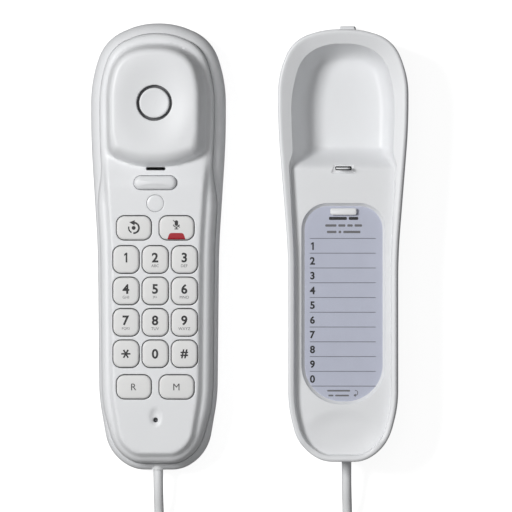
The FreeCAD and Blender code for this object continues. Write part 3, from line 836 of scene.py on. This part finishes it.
def make_ear_disc():
    """The disc in the middle of the earpiece, with a soft edge and a shallow dish."""
    top = box_mm("earpiece_disc")[1][2]
    profile = [(6.9, top - 2.6), (7.2, top - 2.4), (7.2, top - 0.55), (7.12, top - 0.25),
               (6.9, top - 0.06), (6.6, top), (6.2, top - 0.04), (4.5, top - 0.25),
               (2.5, top - 0.38), (0.6, top - 0.42)]
    return add_piece("earpiece_centre", lathe(profile, EAR_MID), "handset",
                     finish("white_shell"), ["earpiece_disc"])


def make_lens():
    """The call lamp's flush lens."""
    low, high, middle = box_mm("indicator_lens")
    top = high[2]
    profile = [(4.04, low[2]), (4.04, top - 0.3), (3.98, top - 0.12), (3.75, top - 0.02),
               (2.6, top), (0.5, top)]
    return add_piece("call_lamp_lens", lathe(profile, middle), "handset",
                     finish("frosted_lens"), ["indicator_lens"])


# ---------------------------------------------------------------- printing

INK_THICK = 0.03
INK_SUNK = 0.06


def glyphs(text, tall, heavy, middle, surface):
    """A word as thin raised ink on a surface: tall is its height and middle its centre."""
    curve = bpy.data.curves.new("glyph", "FONT")
    curve.body = text
    curve.fill_mode = "FRONT"
    curve.offset = heavy
    curve.resolution_u = 6
    holder = bpy.data.objects.new("glyph", curve)
    bpy.context.scene.collection.objects.link(holder)
    mesh = bpy.data.meshes.new_from_object(holder.evaluated_get(
        bpy.context.evaluated_depsgraph_get()))
    flat = np.array([v.co[:2] for v in mesh.vertices])
    faces = [list(face.vertices) for face in mesh.polygons]
    bpy.data.objects.remove(holder)
    bpy.data.curves.remove(curve)
    bpy.data.meshes.remove(mesh)
    low, high = flat.min(0), flat.max(0)
    flat = (flat - (low + high) / 2) * (tall / (high[1] - low[1])) + np.array(middle)
    return raised(flat, faces, surface)


def raised(flat, faces, surface):
    """Flat faces given a little thickness on a surface, closed all round."""
    keys, index = {}, []
    for point in flat:
        index.append(keys.setdefault((round(point[0], 4), round(point[1], 4)), len(keys)))
    points = np.array(list(keys))
    faces = [[index[i] for i in face] for face in faces]
    faces = [face for face in faces if len(set(face)) == len(face)]
    high = surface(points)
    count = len(points)
    vertices = np.concatenate([np.column_stack([points, high + INK_THICK]),
                               np.column_stack([points, high - INK_SUNK])])
    edges = {(a, b) for face in faces for a, b in zip(face, face[1:] + face[:1])}
    sides = [[b, a, a + count, b + count] for a, b in edges if (b, a) not in edges]
    lower = [[i + count for i in reversed(face)] for face in faces]
    return vertices, faces + lower + sides


def figure_one(tall, heavy, middle, surface):
    """The digit 1: an upright stem with a flag."""
    half, right = tall / 2, heavy * 0.9
    loop = [(right, -half), (right, half), (right - heavy * 0.85, half),
            (-heavy * 1.05, half - tall * 0.16), (-heavy * 1.05, half - tall * 0.345),
            (right - heavy, half - tall * 0.235), (right - heavy, -half)]
    return patch([np.array(loop) + middle], surface)


def patch(loops, surface):
    """Closed loops as ink: each a counter-clockwise outline of its own."""
    return joined([raised(np.asarray(loop, float), [list(range(len(loop)))], surface)
                   for loop in loops])


def sector(inner, outer, start, end, middle=(0.0, 0.0)):
    """Part of a flat ring between two angles in degrees."""
    turn = np.radians(np.linspace(start, end, 24))
    ray = np.stack([np.cos(turn), np.sin(turn)], 1)
    return np.concatenate([ray * outer, ray[::-1] * inner]) + np.array(middle)


def bar(x0, y0, x1, y1, wide):
    """A straight stroke."""
    start, end = np.array((x0, y0), float), np.array((x1, y1), float)
    along = unit(end - start)
    side = np.array((-along[1], along[0])) * wide / 2
    return np.array([start - side, end - side, end + side, start + side])


def arc_bar(wide, tall, radius, middle):
    """A rounded upright capsule."""
    return slab(wide, tall, radius, middle, 0.15)[::-1]


DIGITS = {"key_1": ("1", ""), "key_2": ("2", "ABC"), "key_3": ("3", "DEF"), "key_4": ("4", "GHI"),
          "key_5": ("5", "JKL"), "key_6": ("6", "MNO"), "key_7": ("7", "PQRS"),
          "key_8": ("8", "TUV"), "key_9": ("9", "WXYZ"), "key_0": ("0", ""),
          "key_hash": ("#", ""), "key_star": ("", ""), "key_recall": ("R", ""),
          "key_memory": ("M", "")}
DIGIT_TALL = 4.7
DIGIT_UP = 0.95
LETTER_TALL = 1.35
LETTER_DOWN = 3.0


def key_surface(node):
    """The top of a key as a height function."""
    high = box_mm(node)[1]
    return cap_surface(key_loop(node), high[2], sizes().key_round / MM, KEY_CROWN)


def make_key_print(node, digit, letters):
    """The digit of a key and the letters under it."""
    middle = box_mm(node)[2][:2]
    surface = key_surface(node)
    made = []
    up = DIGIT_UP if node.strip("key_").isdigit() and node != "key_0" else 0.0
    if digit == "1":
        made.append(figure_one(DIGIT_TALL, 0.78, middle + np.array((0, up)), surface))
    elif digit:
        tall = 3.2 if digit in "RM" else DIGIT_TALL if up or digit == "0" else 4.3
        heavy = 0.0 if digit in "RM" else 0.030
        made.append(glyphs(digit, tall, heavy, middle + np.array((0, up)), surface))
    else:
        strokes = [bar(2.2 * math.cos(a), 2.2 * math.sin(a), -2.2 * math.cos(a),
                       -2.2 * math.sin(a), 0.75) + middle
                   for a in (math.radians(0), math.radians(60), math.radians(120))]
        made.append(patch(strokes, surface))
    ink = finish("digit_ink")
    add_piece(node + "_print", joined(made), node, ink)
    if letters:
        word = glyphs(letters, LETTER_TALL, 0.0, middle - np.array((0, LETTER_DOWN)), surface)
        add_piece(node + "_letters", word, node, finish("letter_ink"))


def make_redial_print():
    """The redial sign: a round arrow about a dot."""
    node = "key_redial"
    middle = box_mm(node)[2][:2]
    tip = np.array([(-2.1, 2.7), (0.5, 3.7), (0.4, 1.2)]) + middle
    loops = [sector(2.1, 2.95, -95, 88, middle), tip[::-1], sector(2.1, 2.75, 165, 245, middle),
             circle(0.95, middle, 0.2)[::-1]]
    add_piece(node + "_print", patch(loops, key_surface(node)), node,
              finish("digit_ink"))


def make_mute_print():
    """The mute sign: a small microphone, and the red patch at the key's lower edge."""
    node = "key_mute"
    middle = box_mm(node)[2][:2] + np.array((0.0, 1.6))
    loops = [arc_bar(1.6, 2.7, 0.75, middle + np.array((0, 0.7))),
             sector(1.2, 1.65, 190, 350, middle + np.array((0, 0.2))),
             bar(0, -1.3, 0, -2.1, 0.5) + middle, bar(-0.9, -2.1, 0.9, -2.1, 0.42) + middle,
             bar(-1.6, 2.2, 1.6, -1.4, 0.36) + middle]
    add_piece(node + "_print", patch(loops, key_surface(node)), node,
              finish("digit_ink"))
    low, _, centre = box_mm(node)
    foot = low[1] + KEY_COLLAR + 0.12
    loop = outline([(-3.3, foot + 3.1, 1.5), (3.3, foot + 3.1, 1.5), (4.4, foot, 0.2),
                    (-4.4, foot, 0.2)], 0.3, (centre[0], 0.0))
    fill = grid(loop.min(0), loop.max(0), 0.3)
    fill = fill[depth(fill, loop) > 0.12]
    points, triangles, _ = triangulate([loop], fill)
    inside = depth(points[triangles].mean(1), loop) > 0
    add_piece("mute_patch", raised(points, triangles[inside].tolist(), key_surface(node)), node,
              finish("mute_ink"), sharp=60.0)


ROW_PITCH = 7.08
FIRST_RULE_Y = 3.4
RULE_LEFT, RULE_RIGHT = -16.3, 15.4
CARD_DIGIT_TALL = 3.7


def make_card_print():
    """Rules and digits of the memory card, with plain bars where its notes stand."""
    middle = np.array((CARD_MID[0], BS_TOP - (BS_TOP - BS_LOW[1]) / 2))
    top = CARD_HIGH[2]

    def surface(points):
        return np.full(len(points), top)
    rules = []
    for row in range(11):
        y = FIRST_RULE_Y - row * ROW_PITCH
        rules.append(bar(RULE_LEFT, y, RULE_RIGHT, y, 0.38) + middle)
    add_piece("card_rules", patch(rules, surface), "base", finish("rule_ink"))
    digits = []
    for row, digit in enumerate("1234567890"):
        y = FIRST_RULE_Y - (row + 0.52) * ROW_PITCH
        place = middle + np.array((-15.0, y))
        digits.append(figure_one(CARD_DIGIT_TALL, 0.72, place, surface) if digit == "1" else
                      glyphs(digit, CARD_DIGIT_TALL, 0.034, place, surface))
    add_piece("card_digits", joined(digits), "base", finish("digit_ink"))
    heading = words(middle, 13.0, 1.45, (8.6, 4.6), 0.9)
    notes = words(middle, 9.6, 1.15, (5.4, 3.4, 2.6, 3.6), 0.9) \
        + words(middle, 6.5, 1.15, (4.6, 1.3, 8.2), 1.0)
    small = words(middle + np.array((-2.4, 0)), -69.6, 0.8, (11.0,), 0.6) \
        + words(middle + np.array((-2.4, 0)), -71.9, 0.8, (2.4, 6.6), 0.9)
    turn = middle + np.array((5.6, -70.6))
    small += [sector(1.0, 1.35, -100, 100, turn), np.array(
        [(-0.9, -1.2), (0.2, -2.0), (0.2, -0.4)]) + turn]
    add_piece("card_heading", patch(heading, surface), "base",
              finish("digit_ink"))
    add_piece("card_notes", patch(notes + small, surface), "base",
              finish("letter_ink"))


def words(middle, y, tall, widths, gap):
    """A centred row of plain bars, one for each word."""
    left = -(sum(widths) + gap * (len(widths) - 1)) / 2
    bars = []
    for wide in widths:
        centre = middle + np.array((left + wide / 2, y))
        bars.append(slab(wide, tall, tall * 0.3, centre, 0.3)[::-1])
        left += wide + gap
    return bars


# ---------------------------------------------------------------- base

BASE_STEP = 1.1
BASE_MIDDLE = (BS_MID[0], 0.0)
WAIST_IN = 4.95                       # how far the base draws in at its waist
CAVITY_IN = 2.7
LIP_OUT, LIP_IN = 0.5, 1.3            # the window recess's wall, either side of its edge
PANE_GAP = LIP_OUT + 0.85


def base_loop():
    """The base seen from the front."""
    top, foot = BS_TOP, BS_LOW[1]
    waist = BS_HALF - WAIST_IN
    return outline(both_sides([
        (9, top, 45), (24.3, top - 5.2, 18.5), (BS_HALF, top - 22, 45), (BS_HALF, top - 46, 300),
        (waist, top - 108, 300), (waist, top - 181, 60), (21.5, foot + 7.8, 22),
        (10, foot, 16)]), BASE_STEP, BASE_MIDDLE)


def cavity_loop():
    """The inner edge of the rim: the earpiece well, a small step outwards, then the tray."""
    top, foot = BS_TOP, BS_LOW[1]
    waist = BS_HALF - WAIST_IN - CAVITY_IN
    return outline(both_sides([
        (7.5, top - 6.9, 25), (20.0, top - 12.4, 17), (25.2, top - 32, 60),
        (24.2, top - 59.0, 6.0), (26.0, top - 65.0, 6.0), (waist, top - 108, 250),
        (waist, top - 181, 57), (19.3, foot + 9.4, 19), (9.2, foot + 2.7, 13)]), 0.95, BASE_MIDDLE)


def window_loop(gap=0.0):
    """The edge of the memory window's recess."""
    half = (WINDOW_HIGH[0] - WINDOW_LOW[0]) / 2 + 0.35 - gap
    top, foot = WINDOW_HIGH[1] + 0.35 - gap, WINDOW_LOW[1] - 0.6 + gap
    return outline(both_sides([(half, top, 12.0 - gap), (half, foot, 18.5 - gap)]), 0.9,
                   BASE_MIDDLE)


def cradle_height(outer, cavity, window, notch):
    """The height of the base's front at any point."""
    tray, well = sizes().tray_high / MM, sizes().well_floor / MM
    seat = CARD_LOW[2]

    def height(points):
        x, y = points[:, 0] - BS_MID[0], points[:, 1]
        inside = depth(points, outer)
        within = depth(points, cavity)
        rim = RIM_Z - 1.3 * (1 - quarter(inside / 1.3)) - 0.42 * np.maximum(inside - 1.6, 0)
        rim = np.maximum(rim, RIM_Z - 3.0) - 1.3 * smooth(-92, -99, y)
        down = smooth(37, 48, y)
        floor = mix(tray, well, down)
        opens = smooth(37, 45, y)
        reach = mix(0.95, 9.0, opens)
        bend = mix(1.7, 2.6, opens)
        fall = 1 - (1 - np.clip(within / reach, 0, 1)) ** bend
        high = mix(rim, floor, fall)
        lip = depth(points, window)
        high = mix(high, seat, np.clip((lip + LIP_OUT) / (LIP_OUT + LIP_IN), 0, 1) ** 0.7)
        bowl = 1 - (x / 19.0) ** 2 - ((y + 89.0) / 11.5) ** 2
        high = high - 1.0 * smooth(0, 1, bowl)
        return high - 0.4 * smooth(0.0, 0.3, depth(points, notch))
    return height


def make_base_shell():
    """The cradle shell, with the lug on its top end."""
    outer = base_loop()
    cavity = cavity_loop()
    window = window_loop()
    hook = HOOK_MID[:2] + np.array((0.0, 0.1))
    notch = outline([(-4.6, 1.5, 0.3), (4.6, 1.5, 0.3), (6.0, -2.6, 0.6), (-6.0, -2.6, 0.6)],
                    0.4, hook)
    height = cradle_height(outer, cavity, window, notch)
    slot = slab(7.9, 1.9, 0.3, hook, 0.5)
    sampling = [inset(outer, step) for step in (0.1, 0.3, 0.6, 1.0, 1.4)]
    sampling += [inset(cavity, step) for step in (-0.25, 0.0, 0.2, 0.4, 0.65, 0.95, 1.3)]
    sampling += [inset(window, step) for step in (-0.49, -0.3, 0.0, 0.4, 0.8, 1.1, 1.3)]
    sampling += [notch, inset(notch, 0.15), inset(notch, 0.32)]
    bowl = [inset(cavity, step) for step in (1.9, 2.6, 3.4, 4.3, 5.3, 6.4, 7.6, 8.9, 10.3, 11.8)]
    bowl = [loop[loop[:, 1] > 42] for loop in bowl]
    free = grid(BS_LOW[:2], BS_HIGH[:2], 1.1)
    free = thinned(free, sampling + [slot], 0.5)
    free = free[depth(free, outer) > 1.8]
    free = free[~((free[:, 1] > 42) & (depth(free, cavity) < 12.5) & (depth(free, cavity) > 0))]
    free = np.concatenate([free] + bowl)
    taper = ((0.5, 27.0), (1.15, 18.0), (1.75, 9.0), (2.0, 4.0), (2.1, 2.0), (2.2, 1.3),
             (2.3, 1.0), (2.42, 1.0), (2.42, 3.2))
    walls = [(inset(outer, step), high) for step, high in taper]

    def under(points):
        return height(points) - 2.0
    shape = shell(outer, inset(outer, 2.45), walls, [slot], sampling, free, height, under)
    lug = outline([(-3.4, 2.0, 0.5), (3.4, 2.0, 0.5), (4.35, -1.5, 0.5), (-4.35, -1.5, 0.5)],
                  0.4, (BS_MID[0], BS_TOP))
    rows = [(0.35, 1.0), (0.0, 1.35), (0.0, 7.4), (0.18, 7.8), (0.5, 8.0)]
    lug = loft([np.column_stack([inset(lug, step), np.full(len(lug), high)])
                for step, high in rows])
    return add_piece("cradle_shell", joined([shape, lug]), "base",
                     finish("white_shell"), ["base_shell"], 50.0)


def make_hook():
    """The tongue that the hung handset rests on."""
    half, thick = (HOOK_HIGH[0] - HOOK_LOW[0]) / 2 - 0.1, 0.8
    foot, top = HOOK_LOW[2], HOOK_HIGH[2]
    loop = slab(2 * half, thick, 0.25, HOOK_MID[:2], 0.3)
    middle = loop.mean(0)
    steps = [(foot, 0.9), (foot + 0.4, 1.0), (top - 2.4, 1.0), (top - 1.0, 0.97),
             (top - 0.35, 0.92), (top - 0.08, 0.84), (top, 0.7)]
    rows = [np.column_stack([middle + (loop - middle) * share, np.full(len(loop), high)])
            for high, share in steps]
    return add_piece("hanging_hook", loft(rows), "retaining_hook",
                     finish("white_shell"), ["retaining_hook"])


def make_window():
    """The clear window, with a soft edge and its nail tab."""
    low, high = WINDOW_LOW[2], WINDOW_HIGH[2]
    pane_top = low + 1.1
    edge = window_loop(PANE_GAP)
    rows = [(0.0, low), (0.0, pane_top - 0.35), (0.1, pane_top - 0.12), (0.35, pane_top)]
    pane = loft([np.column_stack([inset(edge, step), np.full(len(edge), level)])
                 for step, level in rows])
    tab_y = WINDOW_HIGH[1] - 3.2
    tab = slab(12.6, 3.2, 0.9, (WINDOW_MID[0], tab_y), 0.3)
    rows = [(0.0, pane_top + 0.01), (0.0, high - 0.25), (0.1, high - 0.08), (0.3, high)]
    tab = loft([np.column_stack([inset(tab, step), np.full(len(tab), level)])
                for step, level in rows])
    add_piece("window_tab", tab, "memory_window", finish("frosted_lens"))
    return add_piece("window_pane", pane, "memory_window",
                     finish("clear_window"), ["memory_window"])


# ---------------------------------------------------------------- cord

CORD_EXIT_Z = 12.0


def cord_route():
    """Where the cord's centre line runs, from the handset's foot round to the base's, in metres."""
    hx, bx = HS_MID[0], BS_MID[0]
    exit_z, low = CORD_EXIT_Z, sizes().coil_wide / MM / 2
    points = [(hx, HS_LOW[1], exit_z), (hx, -117.5, exit_z), (hx, -130.0, low),
              (hx, -141.0, low), (hx, -159.0, low), (hx - 2.8, -183.0, low),
              (hx - 1.2, -209.0, low), (-28.8, -234.5, low), (0.9, -244.5, low),
              (30.4, -234.9, low), (bx + 1.4, -211.0, low), (bx + 2.6, -184.0, low),
              (bx, -160.0, low), (bx, -141.0, low), (bx, -128.5, low), (bx, -115.0, exit_z),
              (bx, BS_LOW[1], exit_z)]
    return [tuple(part * MM for part in point) for point in points]


def route_line(points):
    """Points along the smooth line that the route's points control, in metres."""
    curve = bpy.data.curves.new("cord_line", "CURVE")
    curve.dimensions = "3D"
    curve.resolution_u = 24
    spline = curve.splines.new("NURBS")
    spline.points.add(len(points) - 1)
    for control, point in zip(spline.points, points):
        control.co = (*point, 1.0)
    spline.order_u = 3
    spline.use_endpoint_u = True
    holder = bpy.data.objects.new("cord_line", curve)
    bpy.context.scene.collection.objects.link(holder)
    mesh = bpy.data.meshes.new_from_object(holder.evaluated_get(
        bpy.context.evaluated_depsgraph_get()))
    line = np.array([tuple(v.co) for v in mesh.vertices])
    bpy.data.objects.remove(holder)
    bpy.data.curves.remove(curve)
    bpy.data.meshes.remove(mesh)
    return line


def evenly(line, step):
    """The line in steps of one length."""
    travel = np.concatenate([[0], np.cumsum(np.linalg.norm(np.diff(line, axis=0), axis=1))])
    at = np.linspace(0, travel[-1], int(travel[-1] / step) + 1)
    return np.stack([np.interp(at, travel, line[:, axis]) for axis in range(3)], 1), at


STRAIGHT_END = 0.030
TURN_POINTS = 18
CORD_SIDES = 10


def make_cord():
    """The cord: a straight tail from each half and the curly stretch between them."""
    thick, wide, pitch = sizes().cord_thick, sizes().coil_wide, sizes().coil_pitch
    route = cord_route()
    line, at = evenly(route_line(route), pitch / TURN_POINTS)
    total = at[-1]
    from_end = np.minimum(at, total - at)
    swing = (wide - thick) / 2 * smooth(STRAIGHT_END, STRAIGHT_END + 0.012, from_end)
    along = np.gradient(line, axis=0)
    along /= np.linalg.norm(along, axis=1)[:, None]
    side = np.cross(along, (0.0, 0.0, 1.0))
    side /= np.linalg.norm(side, axis=1)[:, None]
    up = np.cross(side, along)
    turn = 2 * math.pi * at / pitch
    wire = line + swing[:, None] * (np.cos(turn)[:, None] * side + np.sin(turn)[:, None] * up)
    shape = sweep(wire / MM, thick / MM / 2, CORD_SIDES)
    cord = add_piece("curly_cord", shape, None, finish("cord_white"),
                     ["cord_tail_handset", "cord_coil", "cord_tail_base"], 80.0)
    clear_of_legs, high = 0.009, 0.0066
    route[0][0] + clear_of_legs
    route[-1][0] - clear_of_legs
    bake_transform(cord)
    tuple(route[0])
    return cord


# ---------------------------------------------------------------- carried-over pieces

def finish_frame_nodes():
    """Each CAD node takes the finish of its slot."""
    for part in frame["record"]["subparts"]:
        node = frame["nodes"][part["node"]]
        node.data.materials.clear()
        node.data.materials.append(finish(part["material_slot"]))


# ---------------------------------------------------------------- studio

def add_light(name, place, aim, size, watts):
    """A soft square light that points at aim."""
    light = bpy.data.lights.new(name, "AREA")
    light.shape = "SQUARE"
    light.size = size
    light.energy = watts
    holder = bpy.data.objects.new(name, light)
    holder.location = place
    holder.rotation_mode = "QUATERNION"
    holder.rotation_quaternion = (Vector(aim) - Vector(place)).to_track_quat("-Z", "Y")
    bpy.context.scene.collection.objects.link(holder)


CAMERA_TILT = 5.0
CAMERA_FAR = 5.0
VIEW_WIDE = 0.2458
FLOOR_HALF = 3.0
FLOOR_Z = -0.0001
VIEW_AIM = ((HS_MID[0] + BS_MID[0]) / 2 * MM + 0.0030, -0.0046, 0.026)


def make_camera():
    """A long lens that looks down on the phone, leaning a little to its right."""
    data = bpy.data.cameras.new("camera")
    data.sensor_width = 36.0
    data.lens = data.sensor_width * CAMERA_FAR / VIEW_WIDE
    data.clip_end = 50.0
    camera = bpy.data.objects.new("camera", data)
    lean = math.radians(CAMERA_TILT)
    aim = Vector(VIEW_AIM)
    camera.location = aim + CAMERA_FAR * Vector((math.sin(lean), 0.0, math.cos(lean)))
    camera.rotation_euler = (0.0, lean, 0.0)
    bpy.context.scene.collection.objects.link(camera)
    bpy.context.scene.camera = camera


def make_floor():
    """A pale sheet that shines a little of its own; it throws no light onto the phone."""
    made = Finish("floor_paper")
    cloud = made.noise(3.0, 2.0)
    made.set(Base_Color=made.blend(cloud, (0.44, 0.44, 0.44, 1), (0.47, 0.47, 0.47, 1)),
             Roughness=0.9, Emission_Color=(1.0, 1.0, 1.0, 1.0), Emission_Strength=0.86)
    corners = [(x * FLOOR_HALF, y * FLOOR_HALF, FLOOR_Z)
               for x, y in ((-1, -1), (1, -1), (1, 1), (-1, 1))]
    mesh = bpy.data.meshes.new("floor")
    mesh.from_pydata(corners, [], [(0, 1, 2, 3)])
    mesh.materials.append(made.material)
    floor = bpy.data.objects.new("floor", mesh)
    bpy.context.scene.collection.objects.link(floor)
    floor.visible_diffuse = False
    floor.visible_glossy = False


def make_studio():
    """Camera, floor and lights."""
    make_camera()
    make_floor()
    scene = bpy.context.scene
    scene.view_settings.view_transform = "Standard"
    world = bpy.data.worlds.new("studio")
    world.use_nodes = True
    background = world.node_tree.nodes["Background"]
    background.inputs["Color"].default_value = (1.0, 1.0, 1.0, 1.0)
    background.inputs["Strength"].default_value = 0.18
    scene.world = world
    aim = (0.0, 0.0, 0.02)
    add_light("window_left", (-0.78, 0.30, 1.22), aim, 0.42, 15.4)
    add_light("overhead", (0.1, 0.1, 1.6), aim, 0.8, 2.0)


# ---------------------------------------------------------------- operators and panel

class PHONE_OT_studio(bpy.types.Operator):
    """Build the camera, floor and lights"""

    bl_idname = "phone.studio"
    bl_label = "Studio"

    def execute(self, context):
        make_studio()
        return {"FINISHED"}


class PHONE_OT_finishes(bpy.types.Operator):
    """Make the finishes and put them on the carried-over pieces"""

    bl_idname = "phone.finishes"
    bl_label = "Finishes"

    def execute(self, context):
        make_finishes()
        finish_frame_nodes()
        return {"FINISHED"}


class PHONE_OT_cord(bpy.types.Operator):
    """Lay the curly cord from the handset round to the base"""

    bl_idname = "phone.cord"
    bl_label = "Curly cord"

    def execute(self, context):
        make_cord()
        return {"FINISHED"}


class PHONE_OT_handset(bpy.types.Operator):
    """Mould the handset's two shells, its earpiece centre, lens and plunger"""

    bl_idname = "phone.handset"
    bl_label = "Handset"

    def execute(self, context):
        make_handset_front()
        make_handset_rear()
        make_ear_disc()
        make_lens()
        make_plunger()
        return {"FINISHED"}


class PHONE_OT_keys(bpy.types.Operator):
    """Mould the keys and print them"""

    bl_idname = "phone.keys"
    bl_label = "Keys"

    def execute(self, context):
        for node in KEY_NODES:
            make_key(node)
        for node, (digit, letters) in DIGITS.items():
            make_key_print(node, digit, letters)
        make_redial_print()
        make_mute_print()
        return {"FINISHED"}


class PHONE_OT_base(bpy.types.Operator):
    """Mould the cradle shell, its hook and the memory window"""

    bl_idname = "phone.base"
    bl_label = "Base"

    def execute(self, context):
        make_base_shell()
        make_hook()
        make_window()
        return {"FINISHED"}


class PHONE_OT_card(bpy.types.Operator):
    """Print the memory card"""

    bl_idname = "phone.card"
    bl_label = "Memory card"

    def execute(self, context):
        make_card_print()
        return {"FINISHED"}


OPERATORS = [PHONE_OT_studio, PHONE_OT_finishes, PHONE_OT_cord, PHONE_OT_handset, PHONE_OT_keys,
             PHONE_OT_base, PHONE_OT_card]


class PHONE_PT_panel(bpy.types.Panel):
    """The builders and their settings"""

    bl_label = "Phone"
    bl_space_type = "VIEW_3D"
    bl_region_type = "UI"
    bl_category = "Phone"

    def draw(self, context):
        for operator in OPERATORS:
            self.layout.operator(operator.bl_idname)
        for group in (context.scene.phone_sizes, context.scene.phone_colours):
            for name in group.__annotations__:
                self.layout.prop(group, name)


CLASSES = [PhoneSizes, PhoneColours, PHONE_PT_panel] + OPERATORS


def register():
    """Register the classes and the settings."""
    for each in CLASSES:
        bpy.utils.register_class(each)
    bpy.types.Scene.phone_sizes = PointerProperty(type=PhoneSizes)
    bpy.types.Scene.phone_colours = PointerProperty(type=PhoneColours)


def unregister():
    """Take them away again."""
    del bpy.types.Scene.phone_colours
    del bpy.types.Scene.phone_sizes
    for each in reversed(CLASSES):
        bpy.utils.unregister_class(each)


def main():
    """Build everything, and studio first."""
    register()
    for operator in OPERATORS:
        group, name = operator.bl_idname.split(".")
        getattr(getattr(bpy.ops, group), name)()


if __name__ == "__main__":
    main()
